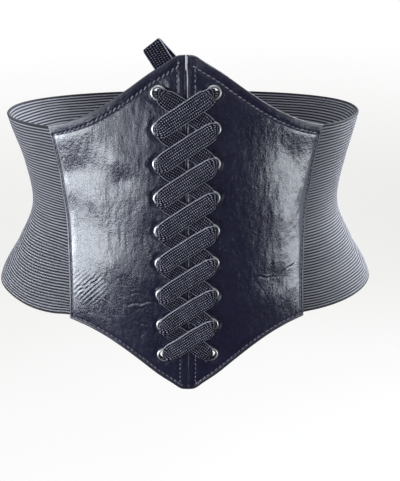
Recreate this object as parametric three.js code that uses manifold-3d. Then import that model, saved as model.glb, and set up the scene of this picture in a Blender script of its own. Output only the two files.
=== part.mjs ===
import * as THREE from "three";
import { mergeVertices } from "three/addons/utils/BufferGeometryUtils.js";
import Module from "manifold-3d";

// A corset belt in the shape that it has when it is worn: two stiff leather-look front panels
// with peaked tops and bottoms, laced together with a flat braid through nine pairs of metal
// eyelets, and a wide elastic band on each side that runs round to a studded tab at the back.
// Millimetres, +Z up. The front faces -Y, and +X is on the right of someone looking at it.
// The origin is the middle of the waist that the belt closes round.

const wasm = await Module();
wasm.setup();

// Waist that the elastic's inner face lies on
const waistHalfWidth = 102.5;
const waistHalfDepth = 75;
const sectionExponent = 2.2; // 2 is an ellipse, more is squarer

// Elastic bands
const elasticHeight = 120;
const elasticThickness = 1.4;
const seamOverlap = 8; // how far a band reaches under leather

// Front panels
const panelThickness = 1.8;
const panelReach = 75.8; // from the front centre to the side seam, round the waist
const seamSlant = 3.75; // how far the seam leans out at the top and in at the bottom
const seamBow = 2.95; // how much further round both its ends are than its middle
const panelCornerOverhang = 1.3; // a panel's side corner stands past the elastic's edge
const topPeakRise = 42.5;
const bottomPeakDrop = 45;
const slitHalfTop = 0.4; // the panels part a little at the top of the lacing
const slitHalfBottom = 0.2;
const edgeRounding = 0.8;

// Eyelets
const eyeletRows = 9;
const eyeletTopMargin = 21; // from the panel's tip to the first row
const eyeletBottomMargin = 25.1;
const eyeletInsetTop = 15; // from the panel's centre edge to an eyelet's middle
const eyeletInsetBottom = 14.4;
const eyeletHoleRadius = 2.8;
const eyeletBarrelWall = 0.35;
const eyeletFlangeWidth = 1.7; // outside the hole
const eyeletRimHeight = 0.9;
const eyeletWasherWidth = 1.4;
const eyeletWasherThickness = 0.4;

// Lace
const laceWidth = 11;
const laceThickness = 1.3;
const knotOffset = -2.5; // from the front centre
const knotHalfWidth = 6;
const knotHalfHeight = 6.5;
const knotHalfThickness = 2.4;
const knotEntry = 2; // where a pass reaches into the knot, from its middle
const loopStand = 14; // how far the bow's loop stands above the panel's edge
const loopLean = 32.5; // degrees from upright, towards -X
const loopSpread = 10.5; // degrees between the loop's two legs
const loopOpening = 1.1; // between the legs at the fold
const tailLength = 34;
const tailSpread = 24; // degrees from straight down, one tail to each side

// Back tabs and their press studs
const tabThickness = 1.2;
const tabHalfOverlap = 10;
const tabBareRun = 8; // between the overlap and the elastic
const tabRunOut = 1; // flat stretch at each end of the step in the outer tab
const studCount = 4;
const studEndMargin = 15; // from the tab's end to the first stud
const studCapRadius = 5;
const studCapHeight = 1.6;
const studPostRadius = 2;
const studSocketRadius = 4.5;
const studSocketThickness = 1;

const gap = 0.3; // between pieces that lie on each other
const drillSpare = 2; // how much further than a wall's faces a hole is cut

// The lace is bunched up inside an eyelet, where two passes lie on either side of its middle.
const neckWidth = 1.18 * eyeletHoleRadius;
const neckThickness = 0.56 * eyeletHoleRadius;
const neckOffset = 0.41 * eyeletHoleRadius;

const elasticHalf = elasticHeight / 2;
const panelInner = elasticThickness + gap;
const panelOuter = panelInner + panelThickness;
const panelSideHalf = elasticHalf + panelCornerOverhang;
const tabInner = elasticThickness + gap;
const tabOuter = tabInner + tabThickness;
const tabReach = tabHalfOverlap + tabBareRun + seamOverlap; // from the back centre to a tab's sewn edge
const eyeletFlangeRadius = eyeletHoleRadius + eyeletFlangeWidth;
const eyeletWasherRadius = eyeletHoleRadius + eyeletWasherWidth;

// Sections of the worn waist. level is a share of half the elastic's height, width a share of
// the waist's half width, front and back shares of its half depth before and behind the widest
// line. The front stays upright, so that line moves back where the front grows.
const waistSections = [
  { level: -1.9, width: 1.37, front: 1.37, back: 0.92 },
  { level: -1, width: 1.295, front: 1.295, back: 0.93 },
  { level: -0.5, width: 1.13, front: 1.13, back: 0.965 },
  { level: 0, width: 1, front: 1, back: 1 },
  { level: 0.5, width: 1.035, front: 1.035, back: 1 },
  { level: 1, width: 1.145, front: 1.145, back: 0.985 },
  { level: 1.9, width: 1.23, front: 1.23, back: 0.98 },
];

// A panel's peaked edge. across is a share of the way from the front centre to the side seam,
// rise a share of the peak's height.
const peakProfile = [
  { across: 0, rise: 1 },
  { across: 0.06, rise: 0.985 },
  { across: 0.13, rise: 0.9 },
  { across: 0.25, rise: 0.755 },
  { across: 0.4, rise: 0.545 },
  { across: 0.55, rise: 0.35 },
  { across: 0.7, rise: 0.19 },
  { across: 0.85, rise: 0.075 },
  { across: 1, rise: 0 },
];

// A smooth curve through a table's column, straight on past its ends.
function smoothColumn(table, key, column, at) {
  const last = table.length - 1;
  const slope = (i) => {
    const a = table[Math.max(i - 1, 0)];
    const b = table[Math.min(i + 1, last)];
    return (b[column] - a[column]) / (b[key] - a[key]);
  };
  if (at <= table[0][key]) return table[0][column] + slope(0) * (at - table[0][key]);
  if (at >= table[last][key]) return table[last][column] + slope(last) * (at - table[last][key]);
  const i = table.findIndex((row, n) => n < last && at < table[n + 1][key]);
  const span = table[i + 1][key] - table[i][key];
  const t = (at - table[i][key]) / span;
  return (
    (2 * t ** 3 - 3 * t ** 2 + 1) * table[i][column] +
    (t ** 3 - 2 * t ** 2 + t) * span * slope(i) +
    (3 * t ** 2 - 2 * t ** 3) * table[i + 1][column] +
    (t ** 3 - t ** 2) * span * slope(i + 1)
  );
}

const lerp = THREE.MathUtils.lerp;

// Half of the waist's outline at one height, from the front centre round +X to the back centre,
// with the length run so far at each of its points.
const outlineSteps = 160;
const outlines = new Map();
function outlineAt(z) {
  if (outlines.has(z)) return outlines.get(z);
  const level = z / elasticHalf;
  const width = waistHalfWidth * smoothColumn(waistSections, "level", "width", level);
  const front = waistHalfDepth * smoothColumn(waistSections, "level", "front", level);
  const back = waistHalfDepth * smoothColumn(waistSections, "level", "back", level);
  const power = 2 / sectionExponent;
  const points = [];
  let length = 0;
  for (let i = 0; i <= outlineSteps; i++) {
    const turn = (Math.PI * i) / outlineSteps;
    const depth = Math.cos(turn) >= 0 ? front : back;
    const x = width * Math.abs(Math.sin(turn)) ** power;
    const y =
      front - waistHalfDepth - depth * Math.sign(Math.cos(turn)) * Math.abs(Math.cos(turn)) ** power;
    if (i > 0) length += Math.hypot(x - points[i - 1].x, y - points[i - 1].y);
    points.push({ x, y, length });
  }
  outlines.set(z, points);
  return points;
}

function halfRound(z) {
  return outlineAt(z)[outlineSteps].length;
}

// The point of the waist's surface that is `along` millimetres round from the front centre.
function onWaist(along, z) {
  const points = outlineAt(z);
  const half = points[outlineSteps].length;
  let run = Math.abs(along);
  let side = Math.sign(along) || 1;
  if (run > half) {
    run = 2 * half - run;
    side = -side;
  }
  let low = 0;
  let high = outlineSteps;
  while (high - low > 1) {
    const middle = (low + high) >> 1;
    if (points[middle].length <= run) low = middle;
    else high = middle;
  }
  const a = points[low];
  const b = points[high];
  const t = (run - a.length) / (b.length - a.length);
  return new THREE.Vector3(side * lerp(a.x, b.x, t), lerp(a.y, b.y, t), z);
}

// The frame of the worn surface at a place: its outward normal, the way round and the way up.
const probe = 1.5;
function waistFrame(along, z) {
  const round = onWaist(along + probe, z).sub(onWaist(along - probe, z));
  const up = onWaist(along, z + probe).sub(onWaist(along, z - probe));
  const out = new THREE.Vector3().crossVectors(round, up).normalize();
  return { round: round.normalize(), up: up.normalize(), out };
}

// A place given by how far round, how high and how far out from the waist's surface.
function place(along, z, out) {
  return onWaist(along, z).addScaledVector(waistFrame(along, z).out, out);
}

function solidFrom(geometry) {
  const bare = geometry.clone();
  bare.deleteAttribute("normal");
  bare.deleteAttribute("uv");
  const merged = mergeVertices(bare, 1e-4);
  return new wasm.Manifold(
    new wasm.Mesh({
      numProp: 3,
      vertProperties: new Float32Array(merged.attributes.position.array),
      triVerts: new Uint32Array(merged.index.array),
    }),
  );
}

function geometryFrom(solid) {
  const { numProp, numVert, vertProperties, triVerts } = solid.getMesh();
  const positions = new Float32Array(numVert * 3);
  for (let i = 0; i < numVert; i++)
    positions.set(vertProperties.subarray(i * numProp, i * numProp + 3), i * 3);
  const geometry = new THREE.BufferGeometry();
  geometry.setAttribute("position", new THREE.BufferAttribute(positions, 3));
  geometry.setIndex(new THREE.BufferAttribute(new Uint32Array(triVerts), 1));
  return geometry;
}

function indexed(points, faces) {
  const geometry = new THREE.BufferGeometry();
  geometry.setAttribute("position", new THREE.Float32BufferAttribute(points.flatMap((p) => p.toArray()), 3));
  geometry.setIndex(faces);
  return geometry;
}

function evenSteps(from, to, steps) {
  return Array.from({ length: steps + 1 }, (_, i) => lerp(from, to, i / steps));
}

// Shares from 0 to 1 with a narrow first and last step, for a rounded rim.
function rimmedShares(steps, rim) {
  return [0, ...evenSteps(rim, 1 - rim, steps), 1];
}

const rimShare = 0.4; // a wall's thickness at its rim

// A closed wall over a grid: heightsAt(across) lists the heights of its rows there, and
// at(across, z, face) gives its outer side at face 1 and its inner side at face -1. Its rim is
// rounded by drawing both sides together there.
function wall(acrossShares, heightsAt, at) {
  const columns = acrossShares.length;
  const rows = heightsAt(0).length;
  const points = [];
  for (const face of [1, -1])
    acrossShares.forEach((across, i) =>
      heightsAt(across).forEach((z, j) => {
        const onRim = i === 0 || j === 0 || i === columns - 1 || j === rows - 1;
        points.push(at(across, z, onRim ? face * rimShare : face));
      }),
    );
  const outer = (i, j) => i * rows + j;
  const inner = (i, j) => columns * rows + outer(i, j);
  const faces = [];
  const quad = (a, b, c, d) => faces.push(a, b, c, a, c, d);
  for (let i = 0; i < columns - 1; i++)
    for (let j = 0; j < rows - 1; j++) {
      quad(outer(i, j), outer(i + 1, j), outer(i + 1, j + 1), outer(i, j + 1));
      quad(inner(i, j), inner(i, j + 1), inner(i + 1, j + 1), inner(i + 1, j));
    }
  for (let i = 0; i < columns - 1; i++) {
    quad(outer(i, 0), inner(i, 0), inner(i + 1, 0), outer(i + 1, 0));
    quad(outer(i, rows - 1), outer(i + 1, rows - 1), inner(i + 1, rows - 1), inner(i, rows - 1));
  }
  for (let j = 0; j < rows - 1; j++) {
    quad(outer(0, j), outer(0, j + 1), inner(0, j + 1), inner(0, j));
    quad(outer(columns - 1, j), inner(columns - 1, j), inner(columns - 1, j + 1), outer(columns - 1, j + 1));
  }
  return indexed(points, faces);
}

// Turns every face round if the way that the wall was laid out left it inside out.
function facingOut(geometry) {
  const solid = solidFrom(geometry);
  if (solid.volume() > 0) return geometry;
  const faces = geometry.index.array;
  for (let i = 0; i < faces.length; i += 3) [faces[i + 1], faces[i + 2]] = [faces[i + 2], faces[i + 1]];
  return geometry;
}

function seamAlong(z) {
  const level = z / panelSideHalf;
  return panelReach + seamSlant * level + seamBow * level ** 2;
}

function panelTop(across) {
  return panelSideHalf + topPeakRise * smoothColumn(peakProfile, "across", "rise", across);
}

function panelBottom(across) {
  return -panelSideHalf - bottomPeakDrop * smoothColumn(peakProfile, "across", "rise", across);
}

function slitHalf(z) {
  return lerp(slitHalfBottom, slitHalfTop, (z - panelBottom(0)) / (panelTop(0) - panelBottom(0)));
}

function eyeletPlace(row, side) {
  const first = panelTop(0) - eyeletTopMargin;
  const last = panelBottom(0) + eyeletBottomMargin;
  const down = row / (eyeletRows - 1);
  const z = lerp(first, last, down);
  return { along: side * (slitHalf(z) + lerp(eyeletInsetTop, eyeletInsetBottom, down)), z };
}

// Stands a lathe or cylinder, made round +Y, on the worn surface with +Y pointing out.
function standOn(object, along, z, out) {
  const frame = waistFrame(along, z);
  const axes = new THREE.Matrix4().makeBasis(
    frame.round,
    frame.out,
    new THREE.Vector3().crossVectors(frame.round, frame.out),
  );
  object.quaternion.setFromRotationMatrix(axes);
  object.position.copy(place(along, z, out));
  object.updateMatrixWorld(true);
  return object;
}

// A round hole straight through a wall, from its inner to its outer face.
const holeSides = 10;
function drill(along, z, inner, outer, radius) {
  const depth = outer - inner + 2 * drillSpare;
  const cutter = standOn(
    new THREE.Mesh(new THREE.CylinderGeometry(radius, radius, depth, holeSides)),
    along,
    z,
    (inner + outer) / 2,
  );
  return solidFrom(cutter.geometry.clone().applyMatrix4(cutter.matrixWorld));
}

// Every wall has its rows at the same heights, so that walls in layers keep their gap.
const bandHeights = evenSteps(edgeRounding - elasticHalf, elasticHalf - edgeRounding, 8);
const bandRows = () => [-elasticHalf, ...bandHeights, elasticHalf];

function panelRows(across) {
  const top = panelTop(across);
  const bottom = panelBottom(across);
  const below = evenSteps(bottom + edgeRounding, bandHeights[0], 2);
  const above = evenSteps(bandHeights.at(-1), top - edgeRounding, 2);
  return [bottom, ...below, ...bandHeights.slice(1, -1), ...above, top];
}

function frontPanel(side) {
  const columns = rimmedShares(8, edgeRounding / panelReach);
  const middle = (panelInner + panelOuter) / 2;
  const sheet = facingOut(
    wall(columns, panelRows, (across, z, face) => {
      const sideHeight = THREE.MathUtils.clamp(z, -panelSideHalf, panelSideHalf);
      const along = lerp(slitHalf(z), seamAlong(sideHeight), across);
      return place(side * along, z, middle + (face * panelThickness) / 2);
    }),
  );
  let solid = solidFrom(sheet);
  for (let row = 0; row < eyeletRows; row++) {
    const { along, z } = eyeletPlace(row, side);
    const radius = eyeletHoleRadius + eyeletBarrelWall + gap;
    solid = solid.subtract(drill(along, z, panelInner, panelOuter, radius));
  }
  return geometryFrom(solid);
}

function elasticBand(side) {
  const columns = rimmedShares(11, 0.005);
  const middle = elasticThickness / 2;
  return facingOut(
    wall(columns, bandRows, (across, z, face) => {
      const front = seamAlong(z) - seamOverlap;
      const back = halfRound(z) - tabReach + seamOverlap;
      return place(side * lerp(front, back, across), z, middle + (face * elasticThickness) / 2);
    }),
  );
}

// How far out the outer tab lies: on its elastic at the sewn edge, over the other tab at the free one.
function outerTabRise(fromCentre) {
  const start = tabReach - seamOverlap - tabRunOut;
  const end = tabHalfOverlap + tabRunOut;
  return THREE.MathUtils.smoothstep(-fromCentre, -start, -end) * (tabThickness + gap);
}

// side 1 sews to the band on +X and lies outermost, side -1 lies under it.
function backTab(side) {
  const middle = (tabInner + tabOuter) / 2;
  const sheet = facingOut(
    wall(rimmedShares(4, 0.03), bandRows, (across, z, face) => {
      const fromCentre = lerp(tabReach, -tabHalfOverlap, across);
      const rise = side > 0 ? outerTabRise(fromCentre) : 0;
      return place(side * (halfRound(z) - fromCentre), z, middle + rise + (face * tabThickness) / 2);
    }),
  );
  let solid = solidFrom(sheet);
  for (let n = 0; n < studCount; n++) {
    const z = studHeight(n);
    const hole = drill(halfRound(z), z, tabInner, tabOuter + gap + tabThickness, studPostRadius + gap);
    solid = solid.subtract(hole);
  }
  return geometryFrom(solid);
}

function studHeight(n) {
  return lerp(elasticHalf - studEndMargin, studEndMargin - elasticHalf, n / (studCount - 1));
}

const ringSides = 10;
const rimCrest = 0.6; // where the rolled rim is highest, as a share of the flange's width
const rimLip = 0.6; // its height at the hole, as a share of its full height

// A rolled rim in front, a barrel through the panel and a flat washer behind, round +Y.
function eyeletGeometry() {
  const barrel = eyeletHoleRadius + eyeletBarrelWall;
  const back = -gap - eyeletWasherThickness;
  const front = panelThickness + gap;
  const profile = [
    [eyeletHoleRadius, back],
    [eyeletWasherRadius, back],
    [eyeletWasherRadius, -gap],
    [barrel, -gap],
    [barrel, front],
    [eyeletFlangeRadius, front],
    [lerp(eyeletHoleRadius, eyeletFlangeRadius, rimCrest), front + eyeletRimHeight],
    [eyeletHoleRadius, front + eyeletRimHeight * rimLip],
    [eyeletHoleRadius, back],
  ];
  return new THREE.LatheGeometry(profile.map(([r, y]) => new THREE.Vector2(r, y)), ringSides);
}

const capShoulder = { radius: 0.75, height: 0.8 }; // shares of the cap's

// A domed cap outside, a post through both tabs and a flat socket inside, round +Y.
function studGeometry() {
  const front = 2 * tabThickness + 3 * gap;
  const profile = [
    [0, -gap - studSocketThickness],
    [studSocketRadius, -gap - studSocketThickness],
    [studSocketRadius, -gap],
    [studPostRadius, -gap],
    [studPostRadius, front],
    [studCapRadius, front],
    [studCapRadius * capShoulder.radius, front + studCapHeight * capShoulder.height],
    [0, front + studCapHeight],
  ];
  return new THREE.LatheGeometry(profile.map(([r, y]) => new THREE.Vector2(r, y)), ringSides);
}

// Stations of the lace: a middle point (along, z, out), the direction of its width in the
// surface, and its width and thickness there.
const upright = new THREE.Vector2(0, 1);
const rimTop = panelOuter + gap + eyeletRimHeight;
const washerBottom = panelInner - gap - eyeletWasherThickness;
const backMouth = washerBottom - gap;

function layerLift(layer) {
  return gap + laceThickness / 2 + layer * (laceThickness + gap);
}

// Layer 0 is the pass nearest the panel, through the inner side of an eyelet; layer 1 lies over it.
function neckAlong(hole, side, layer) {
  return hole.along + side * (layer ? neckOffset : -neckOffset);
}

// The lace inside an eyelet, from the back mouth to the front one.
function throughEyelet(row, side, layer) {
  const hole = eyeletPlace(row, side);
  const along = neckAlong(hole, side, layer);
  return [backMouth + neckSink, rimTop - neckSink].map((out) => ({
    along,
    z: hole.z,
    out,
    across: upright,
    width: neckWidth,
    thickness: neckThickness,
  }));
}

// How the lace bends over an eyelet's rim and spreads out, from the mouth on. reach is a share
// of the flange's radius from the eyelet's middle, lift a share of the layer's height over the
// rim, width and thickness shares of the lace's, and turned a share of the turn from level to
// the run's own line.
const mouthStations = [
  [
    { reach: 0.35, lift: 0.56, width: 0.38, thickness: 1.15, turned: 0.3 },
    { reach: 0.61, lift: 0.98, width: 0.58, thickness: 1.05, turned: 0.7 },
    { reach: 0.95, lift: 1, width: 0.85, thickness: 1, turned: 1 },
  ],
  [
    { reach: -0.19, lift: 0.39, width: 0.36, thickness: 1.2, turned: 0 },
    { reach: 0.02, lift: 0.87, width: 0.46, thickness: 1.15, turned: 0 },
    { reach: 0.36, lift: 1.06, width: 0.68, thickness: 1.05, turned: 0.7 },
    { reach: 0.9, lift: 1, width: 1, thickness: 1, turned: 1 },
  ],
];
const neckSink = 0.37 * eyeletRimHeight; // how far inside an eyelet's mouth the bend starts
const settleReach = 2.4; // where a run has come down to the leather

// Half of a run across the front or the back, from one eyelet's mouth to the middle.
function halfRun(from, to, layer, middleLayer, facing) {
  const way = new THREE.Vector2(to.along - from.along, to.z - from.z).normalize();
  const level = new THREE.Vector2(Math.sign(way.x), 0);
  const across = new THREE.Vector2(-way.y, way.x).multiplyScalar(level.x);
  const rim = facing > 0 ? rimTop : backMouth;
  const face = facing > 0 ? panelOuter : panelInner;
  const settled = {
    out: face + facing * layerLift(middleLayer),
    across,
    width: laceWidth,
    thickness: laceThickness,
  };
  const at = (reach, turned) => {
    const heading = level.clone().lerp(way, turned).multiplyScalar(reach * eyeletFlangeRadius);
    return { along: from.along + heading.x, z: from.z + heading.y };
  };
  const stations = mouthStations[layer].map((row) => ({
    ...at(row.reach, row.turned),
    out: rim + facing * layerLift(layer) * row.lift,
    across: upright.clone().lerp(across, row.turned).normalize(),
    width: laceWidth * row.width,
    thickness: laceThickness * row.thickness,
  }));
  stations.push({ ...at(settleReach, 1), ...settled });
  const middle = { along: (from.along + to.along) / 2, z: (from.z + to.z) / 2, ...settled };
  return { stations, middle };
}

// A whole run between two eyelets. facing 1 is across the front, -1 across the back.
function runAcross(from, to, layers, middleLayer, facing) {
  const first = halfRun(from, to, layers[0], middleLayer, facing);
  const second = halfRun(to, from, layers[1], middleLayer, facing);
  return [...first.stations, first.middle, ...second.stations.reverse()];
}

// A tube of flat four-sided sections through the stations, capped at both ends.
const sectionCorners = [
  [1, 1],
  [-1, 1],
  [-1, -1],
  [1, -1],
];

function flatTube(stations) {
  const middles = stations.map((s) => place(s.along, s.z, s.out));
  const points = [];
  stations.forEach((station, i) => {
    const ahead = middles[Math.min(i + 1, middles.length - 1)];
    const behind = middles[Math.max(i - 1, 0)];
    const way = ahead.clone().sub(behind).normalize();
    const frame = waistFrame(station.along, station.z);
    const across = new THREE.Vector3();
    across.addScaledVector(frame.round, station.across.x).addScaledVector(frame.up, station.across.y);
    const depth = new THREE.Vector3().crossVectors(way, across).normalize();
    for (const [w, t] of sectionCorners)
      points.push(
        middles[i]
          .clone()
          .addScaledVector(across, (w * station.width) / 2)
          .addScaledVector(depth, (t * station.thickness) / 2),
      );
  });
  const count = sectionCorners.length;
  const faces = [];
  for (let i = 0; i < stations.length - 1; i++)
    for (let k = 0; k < count; k++) {
      const a = i * count + k;
      const b = i * count + ((k + 1) % count);
      faces.push(a, b, b + count, a, b + count, a + count);
    }
  const end = (stations.length - 1) * count;
  for (let k = 1; k < count - 1; k++) {
    faces.push(0, k + 1, k);
    faces.push(end, end + k, end + k + 1);
  }
  return solidFrom(facingOut(indexed(points, faces)));
}

const knotPlace = {
  along: knotOffset,
  z: eyeletPlace(0, 1).z,
  out: panelInner - gap - knotHalfThickness,
};

// The lace from the knot, down the front as the under pass and up again as the over pass.
function lacingStations() {
  const stations = [];
  const last = eyeletRows - 1;
  const intoKnot = (side) => {
    const end = { along: knotPlace.along + side * knotEntry, z: knotPlace.z };
    const run = halfRun(eyeletPlace(0, side), end, 0, 0, -1);
    return [...run.stations.slice(0, 2), { ...run.middle, ...end, out: knotPlace.out, width: neckWidth }];
  };
  stations.push(...intoKnot(-1).reverse(), ...throughEyelet(0, -1, 0));
  for (let row = 0; row < last; row++) {
    stations.push(...runAcross(eyeletPlace(row, -1), eyeletPlace(row + 1, 1), [0, 0], 0, 1));
    stations.push(...throughEyelet(row + 1, 1, 0).reverse());
    stations.push(...runAcross(eyeletPlace(row + 1, 1), eyeletPlace(row + 1, -1), [0, 0], 0, -1));
    stations.push(...throughEyelet(row + 1, -1, 0));
  }
  for (let row = last; row > 0; row--) {
    const from = row === last ? 0 : 1;
    const to = row === 1 ? 0 : 1;
    stations.push(...runAcross(eyeletPlace(row, -1), eyeletPlace(row - 1, 1), [from, to], 1, 1));
    stations.push(...throughEyelet(row - 1, 1, to).reverse());
    if (row === 1) break;
    stations.push(...runAcross(eyeletPlace(row - 1, 1), eyeletPlace(row - 1, -1), [1, 1], 1, -1));
    stations.push(...throughEyelet(row - 1, -1, 1));
  }
  stations.push(...intoKnot(1));
  return stations;
}

function leaning(degrees) {
  const turn = THREE.MathUtils.degToRad(degrees);
  return new THREE.Vector2(-Math.sin(turn), Math.cos(turn));
}

// A straight flat length that starts in the knot, as stations. along is a share of its length,
// freed a share of the way from the knot's depth and a bunched width to its own.
function strandFromKnot(start, way, length, depth, rows) {
  return rows.map((row) => ({
    along: start.along + way.x * length * row.along,
    z: start.z + way.y * length * row.along,
    out: lerp(knotPlace.out, depth, row.freed),
    across: new THREE.Vector2(Math.abs(way.y), -way.x * Math.sign(way.y)),
    width: laceWidth * lerp(0.5, 1, row.freed),
    thickness: laceThickness,
  }));
}

const frontLegRows = [
  { along: 0, freed: 0 },
  { along: 0.3, freed: 0.9 },
  { along: 0.7, freed: 1 },
  { along: 0.96, freed: 1 },
];

const backLegRows = [
  { along: 0.05, freed: 0 },
  { along: 0.35, freed: 0.85 },
  { along: 0.7, freed: 1 },
  { along: 0.96, freed: 1 },
];

const tailRows = [
  { along: 0, freed: 0 },
  { along: 0.3, freed: 0.9 },
  { along: 0.6, freed: 1 },
  { along: 1, freed: 1 },
];

// The bow's loop: one leg up behind the panel, a fold, and the other leg down behind the first.
function bowLoop() {
  const way = leaning(loopLean);
  const backWay = leaning(loopLean + loopSpread);
  const edgeRise = panelTop(eyeletInsetTop / seamAlong(panelSideHalf)) - knotPlace.z;
  const length = edgeRise / way.y + loopStand;
  const tip = { along: knotPlace.along + way.x * length, z: knotPlace.z + way.y * length };
  const backStart = { along: tip.along - backWay.x * length, z: tip.z - backWay.y * length };
  const near = panelInner - layerLift(0);
  const far = near - laceThickness - loopOpening;
  const front = strandFromKnot(knotPlace, way, length, near, frontLegRows);
  const back = strandFromKnot(backStart, backWay, length, far, backLegRows);
  const fold = { ...front.at(-1), ...tip, out: (near + far) / 2 };
  return flatTube([...front, fold]).add(flatTube([...back, fold]));
}

// A tail hangs from the knot behind the second row's passes.
function tail(side) {
  const way = leaning(side * (180 - tailSpread));
  return flatTube(strandFromKnot(knotPlace, way, tailLength, backMouth - layerLift(2), tailRows));
}

function knot() {
  const lump = new THREE.Mesh(new THREE.SphereGeometry(1, 8, 5));
  standOn(lump, knotPlace.along, knotPlace.z, knotPlace.out);
  lump.scale.set(knotHalfWidth, knotHalfThickness, knotHalfHeight);
  lump.updateMatrixWorld(true);
  return solidFrom(lump.geometry.clone().applyMatrix4(lump.matrixWorld));
}

const leather = new THREE.MeshStandardMaterial({ color: 0x232433, roughness: 0.32, metalness: 0 });
const elastic = new THREE.MeshStandardMaterial({ color: 0x3b3c48, roughness: 0.8, metalness: 0 });
const braid = new THREE.MeshStandardMaterial({ color: 0x2b2b33, roughness: 0.9, metalness: 0 });
const nickel = new THREE.MeshStandardMaterial({ color: 0xd9d8d2, roughness: 0.25, metalness: 1 });

const belt = new THREE.Group();

function addPiece(name, geometry, material) {
  const mesh = new THREE.Mesh(geometry, material);
  mesh.name = name;
  belt.add(mesh);
  return mesh;
}

for (const [side, word] of [
  [-1, "left"],
  [1, "right"],
]) {
  addPiece(`front_panel_${word}`, frontPanel(side), leather);
  addPiece(`elastic_${word}`, elasticBand(side), elastic);
  addPiece(`back_tab_${word}`, backTab(side), leather);
  for (let row = 0; row < eyeletRows; row++) {
    const { along, z } = eyeletPlace(row, side);
    standOn(addPiece(`eyelet_${word}_${row + 1}`, eyeletGeometry(), nickel), along, z, panelInner);
  }
}

for (let n = 0; n < studCount; n++) {
  const z = studHeight(n);
  standOn(addPiece(`back_stud_${n + 1}`, studGeometry(), nickel), halfRound(z), z, tabInner);
}

const lace = flatTube(lacingStations()).add(knot()).add(bowLoop()).add(tail(-1)).add(tail(1));
addPiece("lace", geometryFrom(lace), braid);

export default belt;
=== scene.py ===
import math

import bpy
import numpy as np
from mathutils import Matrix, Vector


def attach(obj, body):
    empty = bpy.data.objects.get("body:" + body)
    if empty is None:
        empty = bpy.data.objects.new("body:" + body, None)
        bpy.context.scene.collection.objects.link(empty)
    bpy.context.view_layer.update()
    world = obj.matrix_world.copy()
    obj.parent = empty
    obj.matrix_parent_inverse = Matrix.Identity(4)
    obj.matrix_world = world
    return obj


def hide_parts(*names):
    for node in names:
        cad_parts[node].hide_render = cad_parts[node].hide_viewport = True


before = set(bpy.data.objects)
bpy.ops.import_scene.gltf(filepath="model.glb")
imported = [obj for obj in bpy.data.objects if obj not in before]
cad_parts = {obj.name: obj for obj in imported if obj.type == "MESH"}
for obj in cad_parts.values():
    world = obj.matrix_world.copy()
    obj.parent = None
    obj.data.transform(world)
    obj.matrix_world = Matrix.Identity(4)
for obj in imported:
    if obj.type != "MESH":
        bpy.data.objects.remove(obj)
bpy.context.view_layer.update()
bothSides = ((-1, "left"), (1, "right"))
print("frame loaded")

# Lengths are millimetres here, and makeMesh turns them into Blender's metres.
waist = {
    "halfWidth": 102.5,
    "halfDepth": 75,
    "exponent": 2.2,
    "halfHeight": 60,
    # level, width, front depth, back depth
    "sections": [
        (-1.9, 1.37, 1.37, 0.92),
        (-1, 1.295, 1.295, 0.93),
        (-0.5, 1.13, 1.13, 0.965),
        (0, 1, 1, 1),
        (0.5, 1.035, 1.035, 1),
        (1, 1.145, 1.145, 0.985),
        (1.9, 1.23, 1.23, 0.98),
    ],
}


def hermite(t, span, first, firstSlope, second, secondSlope):
    return (
        (2 * t**3 - 3 * t**2 + 1) * first
        + (t**3 - 2 * t**2 + t) * span * firstSlope
        + (3 * t**2 - 2 * t**3) * second
        + (t**3 - t**2) * span * secondSlope
    )


def unit(vectors):
    return vectors / np.linalg.norm(vectors, axis=-1, keepdims=True)


# How far along a row of points each of them lies
def runLengths(points):
    return np.concatenate([[0], np.cumsum(np.linalg.norm(np.diff(points, axis=0), axis=1))])


# A smooth curve through one column of a table, straight past both its ends.
def smoothColumn(rows, column, at):
    key, value = np.array(rows, dtype=float)[:, [0, column]].T
    last = len(rows) - 1
    before = np.maximum(np.arange(last + 1) - 1, 0)
    after = np.minimum(np.arange(last + 1) + 1, last)
    slope = (value[after] - value[before]) / (key[after] - key[before])
    at = np.asarray(at, dtype=float)
    i = np.clip(np.searchsorted(key, at, side="right") - 1, 0, last - 1)
    span = key[i + 1] - key[i]
    t = np.clip((at - key[i]) / span, 0, 1)
    below = np.minimum(at - key[0], 0) * slope[0]
    above = np.maximum(at - key[-1], 0) * slope[-1]
    return hermite(t, span, value[i], slope[i], value[i + 1], slope[i + 1]) + below + above


# Half the width, the depth in front and the depth behind
def sectionAt(z):
    level = np.asarray(z, dtype=float) / waist["halfHeight"]
    sizes = (waist["halfWidth"], waist["halfDepth"], waist["halfDepth"])
    return [size * smoothColumn(waist["sections"], 1 + k, level) for k, size in enumerate(sizes)]


def outlinePoint(turn, z):
    width, front, back = sectionAt(z)
    power = 2 / waist["exponent"]
    cosine = np.cos(turn)
    depth = np.where(cosine >= 0, front, back)
    x = width * np.abs(np.sin(turn)) ** power
    y = front - waist["halfDepth"] - depth * np.sign(cosine) * np.abs(cosine) ** power
    return x, y


tableHeights = np.arange(-128, 129, 1.0)
tableShares = np.linspace(0, 1, 1201)
tableTurns = np.zeros((len(tableHeights), len(tableShares)))
halfRounds = np.zeros(len(tableHeights))
turnSteps = np.linspace(0, math.pi, 1601)
for row, height in enumerate(tableHeights):
    run = runLengths(np.stack(outlinePoint(turnSteps, height), -1))
    halfRounds[row] = run[-1]
    tableTurns[row] = np.interp(tableShares * run[-1], run, turnSteps)


def halfRound(z):
    return np.interp(z, tableHeights, halfRounds)


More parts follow.
